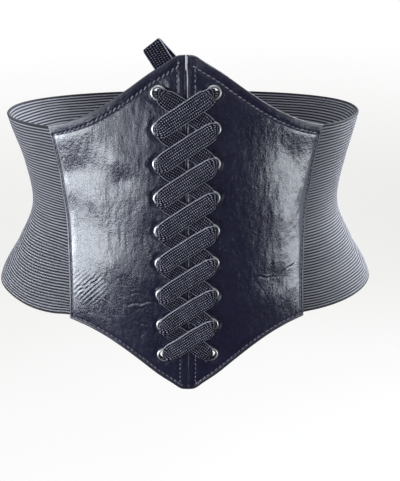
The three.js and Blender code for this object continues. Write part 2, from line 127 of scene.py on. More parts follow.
# A point of the waist's surface, its outward normal, and the ways round and up from it.
def surfaceFrame(along, z):
    along, z = np.broadcast_arrays(np.asarray(along, dtype=float), np.asarray(z, dtype=float))
    half = halfRound(z)
    run, side = np.abs(along), np.where(along < 0, -1.0, 1.0)
    past = run > half
    run, side = np.where(past, 2 * half - run, run), np.where(past, -side, side)
    row = np.clip(z - tableHeights[0], 0, len(tableHeights) - 1.001)
    column = np.clip(run / half, 0, 0.9999999) * (len(tableShares) - 1)
    i, j = row.astype(int), column.astype(int)
    a, b = row - i, column - j
    turn = (
        tableTurns[i, j] * (1 - a) * (1 - b)
        + tableTurns[i + 1, j] * a * (1 - b)
        + tableTurns[i, j + 1] * (1 - a) * b
        + tableTurns[i + 1, j + 1] * a * b
    )
    x, y = outlinePoint(turn, z)
    x = x * side
    width, front, back = sectionAt(z)
    up, down = sectionAt(z + 0.25), sectionAt(z - 0.25)
    widthSlope, frontSlope, backSlope = [(u - d) / 0.5 for u, d in zip(up, down)]
    n = waist["exponent"]
    v = y - front + waist["halfDepth"]
    depth, depthSlope = np.where(v < 0, front, back), np.where(v < 0, frontSlope, backSlope)
    gx = np.sign(x) * np.abs(x / width) ** (n - 1) / width
    gy = np.sign(v) * np.abs(v / depth) ** (n - 1) / depth
    gz = -(
        np.abs(x / width) ** n * widthSlope / width
        + np.abs(v / depth) ** n * depthSlope / depth
        + gy * frontSlope
    )
    out = unit(np.stack([gx, gy, gz], -1))
    around = unit(np.stack([-gy, gx, 0 * gx], -1))
    return np.stack([x, y, z], -1), out, around, np.cross(out, around)


def place(along, z, out):
    point, outward, _, _ = surfaceFrame(along, z)
    return point + outward * np.asarray(out)[..., None]


# Smooth seeded noise from -1 to 1 over a plane, with cells of one unit.
def softNoise(x, y, seed):
    lattice = np.random.default_rng(seed).uniform(-1, 1, (64, 64))
    i, j = np.floor(x).astype(int), np.floor(y).astype(int)
    u, v = x - i, y - j
    u, v = u * u * (3 - 2 * u), v * v * (3 - 2 * v)
    a, b = lattice[i % 64, j % 64], lattice[(i + 1) % 64, j % 64]
    c, d = lattice[i % 64, (j + 1) % 64], lattice[(i + 1) % 64, (j + 1) % 64]
    return (a * (1 - u) + b * u) * (1 - v) + (c * (1 - u) + d * u) * v


def smoothStep(low, high, value):
    t = np.clip((value - low) / (high - low), 0, 1)
    return t * t * (3 - 2 * t)


def bell(value, width):
    return np.exp(-((value / width) ** 2))


# How thick a turned edge is, as a share, at a distance in from it.
def rounding(distance, radius):
    return np.maximum(np.sqrt(1 - (1 - np.clip(distance / radius, 0, 1)) ** 2), 0.3)


# lay is what a material reads of a point: two lengths and a mask.
def makeMesh(name, points, faces, lay, material):
    mesh = bpy.data.meshes.new(name)
    mesh.from_pydata((points * 0.001).tolist(), [], faces if isinstance(faces, list) else faces.tolist())
    mesh.validate()
    values = mesh.attributes.new("lay", "FLOAT_VECTOR", "POINT")
    values.data.foreach_set("vector", np.asarray(lay, dtype=np.float32).ravel())
    mesh.shade_smooth()
    piece = bpy.data.objects.new(name, mesh)
    bpy.context.scene.collection.objects.link(piece)
    mesh.materials.append(material)
    return piece


def standFor(piece, node=None):
    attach(piece, "root")
    if node:
        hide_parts(node)
    return piece


# Several (points, faces, lay) as one
def joined(parts):
    faces, count = [], 0
    for points, ownFaces, _ in parts:
        faces += [[corner + count for corner in face] for face in ownFaces]
        count += len(points)
    return np.concatenate([part[0] for part in parts]), faces, np.concatenate([part[2] for part in parts])


# Points round a line, from two directions at each of its points and how far they lie in both
def swept(middle, first, second, x, y):
    return middle[:, None] + first[:, None] * x[..., None] + second[:, None] * y[..., None]


# Where a curve from 0 to length is cut: fine near both ends, coarser between.
def fineEnds(length, fine, coarse, reach):
    steps, at = [0.0], 0.0
    while at < length / 2:
        at += fine + (coarse - fine) * min(at / reach, 1)
        steps.append(at)
    steps = np.array(steps) * (length / 2) / steps[-1]
    return np.concatenate([steps, length - steps[-2::-1]])


# Which cells of a grid lie clear of round holes
def clearCells(along, z, holes=(), reach=0):
    middleAlong, middleZ = [(grid[:-1, :-1] + grid[1:, 1:]) / 2 for grid in (along, z)]
    keep = np.ones(middleZ.shape, dtype=bool)
    for hole, height in holes:
        keep &= np.hypot(middleAlong - hole, middleZ - height) > reach
    return keep


# The corners of each cell of a grid that closes on itself both ways
def gridCells(rows, columns):
    corner = np.arange(rows * columns).reshape(rows, columns)
    ahead = np.roll(corner, -1, 0)
    return np.stack([corner, ahead, np.roll(ahead, -1, 1), np.roll(corner, -1, 1)], -1)


# A closed sheet from two grids of points. Cells in holes are left out, and every open edge is closed.
def closedSheet(outer, inner, keep):
    cells = gridCells(*outer.shape[:2])[:-1, :-1][keep]
    edges = np.concatenate([cells[:, [k, (k + 1) % 4]] for k in range(4)])
    shared = {tuple(edge) for edge in edges.tolist()}
    rim = np.array([edge for edge in edges.tolist() if (edge[1], edge[0]) not in shared])
    count = outer.size // 3
    walls = np.stack([rim[:, 1], rim[:, 0], rim[:, 0] + count, rim[:, 1] + count], -1)
    faces = np.concatenate([cells, cells[:, ::-1] + count, walls])
    points = np.concatenate([outer.reshape(-1, 3), inner.reshape(-1, 3)])
    used = np.unique(faces)
    fresh = np.zeros(len(points), dtype=int)
    fresh[used] = np.arange(len(used))
    return points[used], fresh[faces], used


# A sheet of one side of the belt. The left one is built mirrored, so its grids are turned round.
def makeSheet(name, side, outer, inner, lay, keep, material):
    lay = np.stack(lay, -1)
    if side < 0:
        outer, inner, lay, keep = outer[::-1], inner[::-1], lay[::-1], keep[::-1]
    points, faces, used = closedSheet(outer, inner, keep)
    lay = lay.reshape(-1, 3)
    return makeMesh(name, points, faces, np.concatenate([lay, lay])[used], material)


# A ring, stud or floor turned round its axis, from (radius, height, mask) rows
def turned(profile, sides, closed=True):
    turns, step = np.meshgrid(
        np.linspace(0, 2 * math.pi, sides, endpoint=False), np.arange(len(profile)), indexing="ij"
    )
    radius, height, mask = np.moveaxis(np.array(profile, dtype=float)[step], -1, 0)
    points = np.stack([np.cos(turns) * radius, np.sin(turns) * radius, height], -1)
    lay = np.stack([turns * radius, height, mask], -1)
    faces = gridCells(*turns.shape)
    faces = faces if closed else faces[:, :-1]
    return points.reshape(-1, 3), faces.reshape(-1, 4), lay.reshape(-1, 3)


# Wraps a socket, so that shader maths is written as an expression.
class Wire:
    def __init__(self, tree, socket):
        self.tree, self.socket = tree, socket

    def math(self, operation, *values):
        node = self.tree.nodes.new("ShaderNodeMath")
        node.operation = operation
        for slot, value in zip(node.inputs, values):
            if isinstance(value, Wire):
                self.tree.links.new(value.socket, slot)
            else:
                slot.default_value = value
        return Wire(self.tree, node.outputs[0])

    def __add__(self, other):
        return self.math("ADD", self, other)

    def __sub__(self, other):
        return self.math("SUBTRACT", self, other)

    def __rsub__(self, other):
        return self.math("SUBTRACT", other, self)

    def __mul__(self, other):
        return self.math("MULTIPLY", self, other)

    def __truediv__(self, other):
        return self.math("DIVIDE", self, other)

    def __pow__(self, other):
        return self.math("POWER", self, other)

    __radd__ = __add__
    __rmul__ = __mul__

    def size(self):
        return self.math("ABSOLUTE", self)

    def sine(self):
        return self.math("SINE", self)


# The nodes of a material or a world
class Finish:
    def __init__(self, name, owners=bpy.data.materials):
        self.owner = owners.new(name)
        self.owner.use_nodes = True
        self.tree = self.owner.node_tree
        self.tree.nodes.clear()

    # Adds a node: its settings first, then its sockets by name or number, and gives one output.
    def add(self, kind, settings={}, sockets={}, output=0):
        node = self.tree.nodes.new("ShaderNode" + kind)
        for key, value in settings.items():
            if key == "stops":
                ramp = node.color_ramp
                while len(ramp.elements) < len(value):
                    ramp.elements.new(0.5)
                for element, (position, color) in zip(ramp.elements, value):
                    element.position, element.color = position, color
            else:
                setattr(node, key, value)
        for key, value in sockets.items():
            if isinstance(value, Wire):
                self.tree.links.new(value.socket, node.inputs[key])
            elif value is not None:
                node.inputs[key].default_value = value
        return Wire(self.tree, node.outputs[output]) if node.outputs else None

    def lay(self):
        vector = self.add("Attribute", {"attribute_name": "lay"}, {}, "Vector")
        parts = self.add("SeparateXYZ", {}, {0: vector}).socket.node
        return [Wire(self.tree, parts.outputs[k]) for k in range(3)]

    def at(self, x, y):
        return self.add("CombineXYZ", {}, {0: x, 1: y})

    def noise(self, vector, scale, detail=3.0, roughness=0.55):
        sockets = {"Vector": vector, "Scale": scale, "Detail": detail, "Roughness": roughness}
        return self.add("TexNoise", {}, sockets)

    def spread(self, value, low, high):
        return self.add("MapRange", {"interpolation_type": "SMOOTHSTEP"}, {0: value, 1: low, 2: high})

    def mix(self, factor, first, second):
        return self.add("Mix", {"data_type": "RGBA"}, {0: factor, 6: first, 7: second}, 2)

    def bump(self, height, distance, normal=None):
        return self.add("Bump", {}, {"Distance": distance, "Height": height, "Normal": normal})

    def surface(self, tone, roughness, normal, others={}):
        sockets = {"Base Color": tone, "Roughness": roughness, "Normal": normal, **others}
        self.add("OutputMaterial", {}, {0: self.add("BsdfPrincipled", {}, sockets)})
        return self.owner


def shade(red, green, blue):
    return (red, green, blue, 1.0)


leatherLook = {
    "dark": shade(0.0165, 0.015, 0.043),
    "light": shade(0.026, 0.0245, 0.061),
    "margin": shade(0.02, 0.019, 0.042),
    "roughness": 0.2,
    "roughnessSpread": 0.1,
    "refraction": 2.0,
    "grainScale": 0.72,  # cells a millimetre
    "grainDepth": 0.00013,
    "streakDepth": 0.00025,
    "foldDepth": 0.00016,
    "foldPlace": (-61.0, -38.0),  # the corner where the leather has folded most
    "foldReach": 15.0,
    "coat": 0.6,
    "coatRoughness": 0.17,
}


def leatherFinish(name, look):
    finish = Finish(name)
    along, z, margin = finish.lay()
    flat = finish.at(along, z)
    grain = finish.noise(flat, look["grainScale"], 4.0, 0.62)
    pores = finish.add("TexVoronoi", {"feature": "SMOOTH_F1"}, {"Vector": flat, "Scale": 0.9})
    streaks = finish.noise(finish.at(along * 0.55, z * 0.13), 1.0, 4.0, 0.65)
    patches = finish.noise(flat, 0.06, 3.0)
    fine = finish.noise(flat, 0.4, 4.0, 0.7)
    tone = finish.mix(finish.spread(patches * 0.6 + fine * 0.4, 0.35, 0.68), look["dark"], look["light"])
    tone = finish.mix(margin * 0.75, tone, look["margin"])
    rough = look["roughness"] + look["roughnessSpread"] * (
        finish.spread(fine, 0.3, 0.75) * 0.6 + finish.spread(streaks, 0.35, 0.7) * 0.4
    )
    foldAlong, foldZ = along - look["foldPlace"][0], z - look["foldPlace"][1]
    away = (foldAlong * foldAlong + foldZ * foldZ) ** 0.5
    folded = finish.spread(away, look["foldReach"], 2.0)
    across = finish.at((z - along) * 0.7, (z + along) * 0.12)
    bent = {"Vector": across, "Scale": 0.14, "Distortion": 1.6, "Detail": 3.0, "Detail Scale": 2.5}
    folds = finish.add("TexWave", {"wave_profile": "SIN"}, bent, 1) * folded
    normal = finish.bump(streaks * 0.7 + fine * 0.5, look["streakDepth"])
    normal = finish.bump(folds, look["foldDepth"], normal)
    normal = finish.bump(grain * 0.7 + pores * 0.45, look["grainDepth"], normal)
    grazing = finish.spread(finish.add("LayerWeight", {}, {"Blend": 0.5}, "Facing"), 0.3, 0.55)
    rough = rough + margin * 0.2 + grazing * 0.5
    cover = (1 - margin) * (1 - grazing * 0.9) * look["coat"]
    coat = {"Coat Weight": cover, "Coat Roughness": look["coatRoughness"], "IOR": look["refraction"]}
    return finish.surface(tone, rough, normal, coat)


elasticLook = {
    # groove is painted shade in the rib grooves; ridge is the grey the lit crests take
    "groove": shade(0.011, 0.011, 0.019),
    "ridge": shade(0.42, 0.412, 0.45),
    "edge": shade(0.04, 0.037, 0.042),
    "threadPitch": 0.62,
}


# lay: how far round, how high, and the rib's relief from 0 in a groove to 1 on its crest, or
# minus one on the plain cord along an edge
def elasticFinish(name, look):
    finish = Finish(name)
    along, z, relief = finish.lay()
    wobble = finish.noise(finish.at(along, z), 0.35, 2.0)
    threads = (along * (math.pi / look["threadPitch"]) + wobble * 3.0).sine().size()
    fuzz = finish.noise(finish.at(along * 2.2, z * 5.0), 1.0, 3.0, 0.7)
    patches = finish.noise(finish.at(along * 0.05, z * 0.22), 1.0, 3.0)
    # Painted shade in the grooves and painted light on the crests, broken by fuzz, threads and random patches
    crest = finish.spread(relief, 0.58, 1.0)
    worn = crest * (0.6 + 0.55 * fuzz) * (0.8 + 0.2 * threads) * (0.7 + 0.6 * patches)
    tone = finish.mix(worn, look["groove"], look["ridge"])
    tone = finish.mix(finish.spread(relief, -0.2, -0.8), tone, look["edge"])
    normal = finish.bump(threads * 0.6 + fuzz * 0.6, 0.00012)
    soft = {"Specular IOR Level": 0.25, "Sheen Weight": 0.06}
    return finish.surface(tone, 0.62 + 0.2 * fuzz, normal, soft)


laceLook = {
    "yarn": shade(0.008, 0.0078, 0.02),
    # crest is a painted highlight on the braid's raised dashes, rim a painted highlight on its edge cords
    "crest": shade(0.83, 0.82, 0.97),
    "rim": shade(0.55, 0.54, 0.62),
    "wale": 1.5,  # width of one of the braid's rows
    "pitch": 1.25,  # length of one of its dashes
}


# lay: millimetres across the braid from its middle, how far along it, and how much painted light it takes
def laceFinish(name, look):
    finish = Finish(name)
    side, along, worn = finish.lay()
    wobble = finish.noise(finish.at(side, along), 0.4, 2.0)
    zigzag = finish.add("Math", {"operation": "PINGPONG"}, {0: side, 1: look["wale"]}) / look["wale"]
    dash = (along * (math.pi / look["pitch"]) + zigzag * 2.0 + wobble * 0.6).sine().size()
    wale = (side * (math.pi / look["wale"])).sine().size()
    fuzz = finish.noise(finish.at(side * 1.1, along * 1.2), 1.0, 4.0, 0.7)
    patches = finish.noise(finish.at(side * 0.2, along * 0.12), 1.0, 2.0)
    crest = (wale**0.5) * dash
    rim = finish.spread(side.size(), 5.05, 5.25)
    cord = (along * 3.9).sine().size()
    # Painted highlight dots on the braid's crests, dimmed into painted shade on under passes and in the holes
    crestHighlight = finish.spread(crest, 0.62, 0.97) * finish.spread(fuzz, 0.25, 0.7) * (0.4 + 1.2 * patches) * worn
    tone = finish.mix(crestHighlight, look["yarn"], look["crest"])
    tone = finish.mix(rim * (0.45 + 0.55 * cord) * (0.4 + 0.6 * worn), tone, look["rim"])
    normal = finish.bump(crest * (1 - rim) + cord * rim * 0.8 + fuzz * 0.35, 0.0003)
    return finish.surface(tone, 0.62 + 0.25 * fuzz, normal, {"Specular IOR Level": 0.06})


metalLook = {
    "face": shade(0.95, 0.945, 0.93),
    # inside is painted shade inside the barrel, with a dark brass tint
    "inside": shade(0.022, 0.017, 0.013),
    "roughness": 0.32,
}


# lay: how far round in millimetres, height, and 1 inside the barrel, where the metal is painted in shade
def metalFinish(name, look):
    finish = Finish(name)
    along, z, inside = finish.lay()
    haze = finish.noise(finish.at(along, z), 0.9, 3.0)
    scratches = finish.noise(finish.at(along * 0.6, z * 6.0), 1.0, 4.0, 0.7)
    # Painted shade inside the barrel and down the crown's inner slope
    tone = finish.mix(finish.spread(inside, 0.1, 0.6), look["face"], look["inside"])
    tone = finish.mix(finish.spread(haze, 0.5, 0.8) * 0.25, tone, shade(0.6, 0.585, 0.56))
    rough = look["roughness"] + 0.14 * haze + 0.25 * inside
    normal = finish.bump(scratches, 0.00002)
    return finish.surface(tone, rough, normal, {"Metallic": 1.0})


# lay: how far along a stitch, how far round its thread, and its share of light: stitches given less are
# painted in shade
def threadFinish(name, tint):
    finish = Finish(name)
    along, turn, stitchLight = finish.lay()
    twist = (along * 5.2 + turn * 2.0).sine().size()
    fuzz = finish.noise(finish.at(along, turn), 3.0, 3.0)
    # Painted shade between the thread's twists and over whole stitches given less light
    shaded = shade(*(0.3 * part for part in tint[:3]))
    tone = finish.mix((twist * 0.6 + fuzz * 0.4) * stitchLight, shaded, tint)
    normal = finish.bump(twist, 0.00012)
    return finish.surface(tone, 0.5 + 0.2 * fuzz, normal)


panelLeather = leatherFinish("panel leather", leatherLook)
tabLeather = leatherFinish("tab leather", {**leatherLook, "roughness": 0.36})
elasticBand = elasticFinish("ribbed elastic", elasticLook)
laceBraid = laceFinish("lace braid", laceLook)
eyeletMetal = metalFinish("eyelet metal", metalLook)
studMetal = metalFinish("stud metal", {**metalLook, "roughness": 0.26})
seamThread = threadFinish("seam thread", shade(0.68, 0.67, 0.8))
print("materials made")

gap = 0.3  # clearance between pieces
panel = {
    "inner": 1.7,
    "thickness": 1.8,
    "reach": 75.8,
    "seamSlant": 3.75,
    "seamBow": 2.95,
    "sideHalf": 61.3,
    "topRise": 42.5,
    "bottomDrop": 45,
    "slitTop": 0.4,
    "slitBottom": 0.2,
    "edgeSlant": 0.2,  # how far the laced edges lean over each other, so that no light shows
    # share of the way to the seam, share of the peak's height
    "peak": [(0, 1), (0.06, 0.985), (0.13, 0.9), (0.25, 0.755), (0.4, 0.545)]
    + [(0.55, 0.35), (0.7, 0.19), (0.85, 0.075), (1, 0)],
    "roll": 0.75,  # rounding of the turned edge
    "stitchTop": 5.4,  # how far in each line of stitches lies
    "stitchBottom": 2.7,
    "stitchSide": 2.3,
    "stitchSlit": 4.6,
    "topRun": (0.075, 0.955),  # where each line starts and ends, as shares of the way to the seam
    "bottomRun": (0.075, 0.965),
    "seamRun": (-57.5, 54.5),  # and as heights
    # pitch, slant, radius and length as a share of the pitch: bottom hem, side seam, slit
    "stitchLooks": [(3.1, 0.1, 0.3, 0.6), (3.0, 0.1, 0.34, 0.72), (3.0, 0.1, 0.26, 0.6)],
    "topLook": {-1: (3.0, -0.55, 0.34, 0.72), 1: (3.0, 0.2, 0.34, 0.72)},
    "grooveWidth": 0.55,
    "sideSwell": 0.95,  # how full the leather is beside the side seam
    # nominal size, finest and coarsest cell, how far in the fine ones reach
    "gridAcross": (78, 0.28, 0.62, 8),
    "gridUp": (168, 0.28, 0.66, 8),
    # rise, size along and up, place in the noise, seed
    "uneven": [(0.42, 26, 34, 9, 3), (0.16, 11, 17, 9, 7)]
    + [(0.07, 3.2, 11, 40, 11), (0.045, 1.7, 3.4, 90, 17)],
}
eyelet = {
    "rows": 9,
    "topMargin": 21,
    "bottomMargin": 25.1,
    "insetTop": 15,
    "insetBottom": 14.4,
    "hole": 2.8,
    "wall": 0.35,
    "flange": 4.5,
    "washer": 4.2,
    "rimHeight": 0.9,
    "washerThickness": 0.4,
    "clearing": 3.75,  # radius cut out of the leather
    "dimple": 0.3,  # depth pressed in round the ring
    "pucker": 0.1,
    "seat": 0.42,  # depth right under the flange
}
panelOuter = panel["inner"] + panel["thickness"]


def seamAlong(z):
    level = np.clip(z, -panel["sideHalf"], panel["sideHalf"]) / panel["sideHalf"]
    return panel["reach"] + panel["seamSlant"] * level + panel["seamBow"] * level**2


def panelTop(across):
    return panel["sideHalf"] + panel["topRise"] * smoothColumn(panel["peak"], 1, across)


def panelBottom(across):
    return -panel["sideHalf"] - panel["bottomDrop"] * smoothColumn(panel["peak"], 1, across)


tipTop, tipBottom = float(panelTop(0)), float(panelBottom(0))


def slitHalf(z):
    share = (z - tipBottom) / (tipTop - tipBottom)
    return panel["slitBottom"] + (panel["slitTop"] - panel["slitBottom"]) * share


# The laced edges lean together below the first crossing
def slitEdge(z):
    return slitHalf(z) * (0.5 - 0.1 * smoothStep(tipTop - 28, tipTop - 40, z))


def eyeletPlace(row, side):
    first, last = tipTop - eyelet["topMargin"], tipBottom + eyelet["bottomMargin"]
    down = row / (eyelet["rows"] - 1)
    z = first + (last - first) * down
    inset = eyelet["insetTop"] + (eyelet["insetBottom"] - eyelet["insetTop"]) * down
    return side * float(slitHalf(z) + inset), z


eyeletHoles = [eyeletPlace(row, 1) for row in range(eyelet["rows"])]


# Distances in from a panel's four edges
def panelInsets(across, z):
    along = slitEdge(z) + (seamAlong(z) - slitEdge(z)) * across
    step = 0.004
    fromEdges = []
    for edge in (panelTop, panelBottom):
        slope = (edge(across + step) - edge(across - step)) / (2 * step) / panel["reach"]
        fromEdges.append(np.abs(edge(across) - z) / np.sqrt(1 + slope**2))
    return along, *fromEdges, seamAlong(z) - along, along - slitEdge(z)


# Creases pressed in by wear: from and to as (along, height), width and depth
creases = {
    -1: [
        (72, -46, 50, -29, 0.5, 0.16),
        (72, -43, 55, -31, 0.5, 0.14),
        (53, -42, 42, -52, 0.5, 0.1),
        (24, -47, 32, -51, 0.6, 0.12),
        (23, -61, 33, -58, 0.6, 0.12),
        (40, -48, 14, -44, 0.7, 0.14),
        (26, -38, 36, -41, 0.6, 0.1),
    ],
    1: [
        (19, 10, 27, 4, 0.5, 0.3),
        (38, -30, 54, -32, 0.5, 0.25),
        (58, -30, 68, -24, 0.6, 0.12),
        (24, -43, 36, -38, 0.6, 0.12),
        (33, -56, 44, -68, 0.6, 0.12),
        (40, -30, 50, -46, 0.5, 0.1),
    ],
}
# Broad dents and bulges: along, height, lean in degrees, half length, half width, rise
dents = {
    -1: [
        (50, 86, -26, 34, 15, 1.5),
        (68, 64, -10, 20, 13, 1.8),
        (66, 36, -10, 14, 8, -0.6),
        (38, 44, 15, 11, 7, 0.55),
        (39, 30, -15, 9, 6, -0.45),
        (52, 18, 70, 12, 8, 0.35),
        (44, -22, 50, 12, 9, 0.45),
        (59, 4, 80, 14, 4, -0.25),
        (24, -30, 0, 9, 6, 0.3),
    ],
    1: [
        (50, 84, -26, 34, 15, 1.4),
        (72, 63, -12, 22, 12, 2.0),
        (59, 7, 85, 17, 10, 0.75),
        (64, 42, 90, 9, 6, -0.5),
        (44, 34, 60, 10, 6, 0.3),
        (54, -34, 10, 14, 8, -0.6),
    ],
}


def creaseRelief(along, z, lines):
    relief = np.zeros_like(along)
    for a0, z0, a1, z1, width, depth in lines:
        length = math.hypot(a1 - a0, z1 - z0)
        wayA, wayZ = (a1 - a0) / length, (z1 - z0) / length
        ahead = (along - a0) * wayA + (z - z0) * wayZ
        aside = (z - z0) * wayA - (along - a0) * wayZ + 0.5 * np.sin(ahead * 0.7 + a0)
        fade = smoothStep(-1, length * 0.3, ahead) * smoothStep(length + 1, length * 0.7, ahead)
        relief += depth * fade * (0.6 * bell(aside - 1.6 * width, width) - bell(aside, width))
    return relief


def panelRelief(side, across, z):
    along, fromTop, fromBottom, fromSide, fromSlit = panelInsets(across, z)
    # distance in, its stitch line, the margin's puff and fall, the dip beside it, the groove's depth
    lines = [
        (fromTop, panel["stitchTop"], 0.03, 0.5, 0.2, 0.42),
        (fromBottom, panel["stitchBottom"], 0.1, 0.1, 0.2, 0.42),
        (fromSide, panel["stitchSide"], 0.22, 0, 0.1, 0.42),
        (fromSlit, panel["stitchSlit"], 0.05, 0, 0.05, 0.2),
    ]
    relief = np.zeros_like(along)
    for k, (inset, line, puff, fall, dip, depth) in enumerate(lines):
        clear = np.ones_like(along)
        for m, (other, otherLine, *_) in enumerate(lines):
            if m != k:
                clear = clear * smoothStep(otherLine - 1.2, otherLine + 0.2, other)
        groove = bell(inset - line, panel["grooveWidth"])
        share = np.clip(inset / line, 0, 1)
        margin = np.sin(np.pi * share) * puff - fall * share * (inset < line)
        past = np.maximum(inset - line, 0)
        swell = -np.maximum(dip, fall) * np.exp(-past / 2.2) * (inset >= line)
        relief += (margin - depth * groove) * clear + swell
    warp = panel["sideSwell"] * (1 - np.exp(-np.maximum(fromSide - panel["stitchSide"], 0) / 3.2))
    warp = warp * bell(fromSide, 30) * smoothStep(-4, 26, np.minimum(fromTop, fromBottom))
    for centre, height, lean, length, width, rise in dents[side]:
        turn = math.radians(lean)
        ahead = (along - centre) * math.cos(turn) + (z - height) * math.sin(turn)
        aside = (z - height) * math.cos(turn) - (along - centre) * math.sin(turn)
        warp += rise * bell(ahead, length) * bell(aside, width)
    for rise, long, high, start, seed in panel["uneven"]:
        relief += rise * softNoise(side * along / long + start, z / high + start, seed + side)
    relief += creaseRelief(along, z, creases[side])
    for hole, height in eyeletHoles:
        reach = np.hypot(along - hole, z - height)
        turn = np.arctan2(z - height, along - hole)
        relief -= eyelet["dimple"] * smoothStep(8.5, 5, reach)
        relief += eyelet["pucker"] * bell(reach - 6.6, 1.3) * (1 + np.sin(5 * turn + height))
        under = smoothStep(6, 4.9, reach)
        relief = relief * (1 - under) - eyelet["seat"] * under
        warp *= smoothStep(5.5, 15, reach)
    inset = np.minimum(np.minimum(fromTop, fromBottom), np.minimum(fromSide, fromSlit))
    return along, relief, inset, warp


def makePanel(side, word):
    shares = [fineEnds(*grid) / grid[0] for grid in (panel["gridAcross"], panel["gridUp"])]
    across, up = np.meshgrid(*shares, indexing="ij")
    z = panelBottom(across) + (panelTop(across) - panelBottom(across)) * up
    along, relief, inset, warp = panelRelief(side, across, z)
    half, middle = panel["thickness"] / 2, panel["inner"] + panel["thickness"] / 2
    edge = rounding(inset, panel["roll"])
    relief = relief * edge + warp
    slant = side * panel["edgeSlant"] * np.exp(-((along - slitEdge(z)) / 2.5)) * smoothStep(76, 68, z)
    outer = place(side * (along + slant), z, middle + half * edge + relief)
    inner = place(side * (along - slant), z, middle - half * edge + np.maximum(warp, 0))
    margin = smoothStep(2.6, 1.8, inset) * smoothStep(1.5, 4.0, along - slitEdge(z)) * 0.7
    keep = clearCells(along, z, eyeletHoles, eyelet["clearing"])
    lay = [side * along, z, margin]
    piece = makeSheet("panel_" + word, side, outer, inner, lay, keep, panelLeather)
    return standFor(piece, "front_panel_" + word)


panels = {word: makePanel(side, word) for side, word in bothSides}
print("panels made")


elastic = {
    "thickness": 1.4,
    "height": 120,
    "underLeather": 8,
    "shortOfBack": 18,  # where it ends, from the middle of the back
    "ribs": 64,
    "ribDepth": 0.6,
    "edgeCord": 1.1,
    "roll": 0.7,  # rounding of its ends
    "gridRound": (0.006, 0.0115, 0.05),  # cells and reach, as shares of its length
    "rowsPerRib": 6,
    "wave": 0.5,
    "dip": 1.1,  # beside the seam
    "bulge": 0.25,
    "droop": {-1: 2.0, 1: 0.3},  # how far the lower edge hangs beside the seam
    "tuck": {-1: 0.5, 1: 2.2},  # how far the upper edge leans in at the side
}


def makeElastic(side, word):
    ribs, height = elastic["ribs"], elastic["height"]
    half = height / 2
    cord = elastic["edgeCord"]
    pitch = (height - 2 * cord) / ribs
    ribRows = np.linspace(cord - half, half - cord, ribs * elastic["rowsPerRib"] + 1)
    cordRows = np.array([0, 0.12, 0.3, 0.55, 0.8])
    rows = np.concatenate([cordRows * cord - half, ribRows, half - cord * cordRows[::-1]])
    shares = fineEnds(1, *elastic["gridRound"])
    share, z = np.meshgrid(shares, rows, indexing="ij")
    front = seamAlong(z) - elastic["underLeather"]
    back = halfRound(z) - elastic["shortOfBack"]
    along = front + (back - front) * share
    phase = np.mod((z + half - cord) / pitch, 1)
    inside = (z >= cord - half) & (z <= half - cord)
    crest = np.where(inside, np.sin(np.pi * phase) ** 0.8, 0)
    edge = np.clip((half - np.abs(z)) / cord, 0, 1)
    cordShape = np.where(inside, 0, np.sqrt(np.clip(1 - (2 * edge - 1) ** 2, 0, 1)))
    shape = np.where(inside, crest, cordShape)
    leaving = along - seamAlong(z)
    wave = softNoise(side * along / 30 + 20, z / 26 + 20, 31 + side)
    dip = elastic["dip"] * bell(leaving, 8) * softNoise(z / 17 + 5, z * 0 + side, 41)
    lifted = z + (elastic["wave"] * wave + dip) * smoothStep(0, 9, half - np.abs(z))
    beside = bell(leaving - 28, 26) * smoothStep(0, 14, leaving)
    lifted -= elastic["droop"][side] * beside * smoothStep(-15, -60, z)
    relief = elastic["ribDepth"] * (shape - 1)
    bulge = elastic["bulge"] * softNoise(side * along / 22 + 50, z / 40 + 50, 43 + side)
    bulge = np.maximum(bulge * smoothStep(2, 12, leaving) * smoothStep(0, 20, back - along), -0.1)
    upper = smoothStep(30, 60, z) * smoothStep(10, 60, back - along)
    bulge -= elastic["tuck"][side] * smoothStep(8, 45, leaving) * upper
    rim = np.minimum(share, 1 - share) * (back - front)
    ends = rounding(rim, elastic["roll"])
    thick = elastic["thickness"]
    outer = place(side * along, lifted, thick / 2 + (thick / 2 + relief) * ends + bulge)
    inner = place(side * along, lifted, thick / 2 - (thick / 2 + relief * 0.5) * ends + bulge)
    lay = [side * along, z, np.where(inside, crest, -1.0)]
    piece = makeSheet("elastic_band_" + word, side, outer, inner, lay, clearCells(along, z), elasticBand)
    return standFor(piece, "elastic_" + word)


bands = {word: makeElastic(side, word) for side, word in bothSides}
print("elastic made")


def standOn(points, along, z, out):
    _, outward, around, up = surfaceFrame(along, z)
    middle = place(np.array(along), np.array(z), np.array(out))
    return middle + points[:, :1] * around + points[:, 1:2] * up + points[:, 2:] * outward


def arc(middle, radii, start, end, steps, inside=0.0):
    angles = np.radians(np.linspace(start, end, steps))
    points = [(radii[0] * math.cos(a), radii[1] * math.sin(a)) for a in angles]
    return [(middle[0] + x, middle[1] + y, inside) for x, y in points]


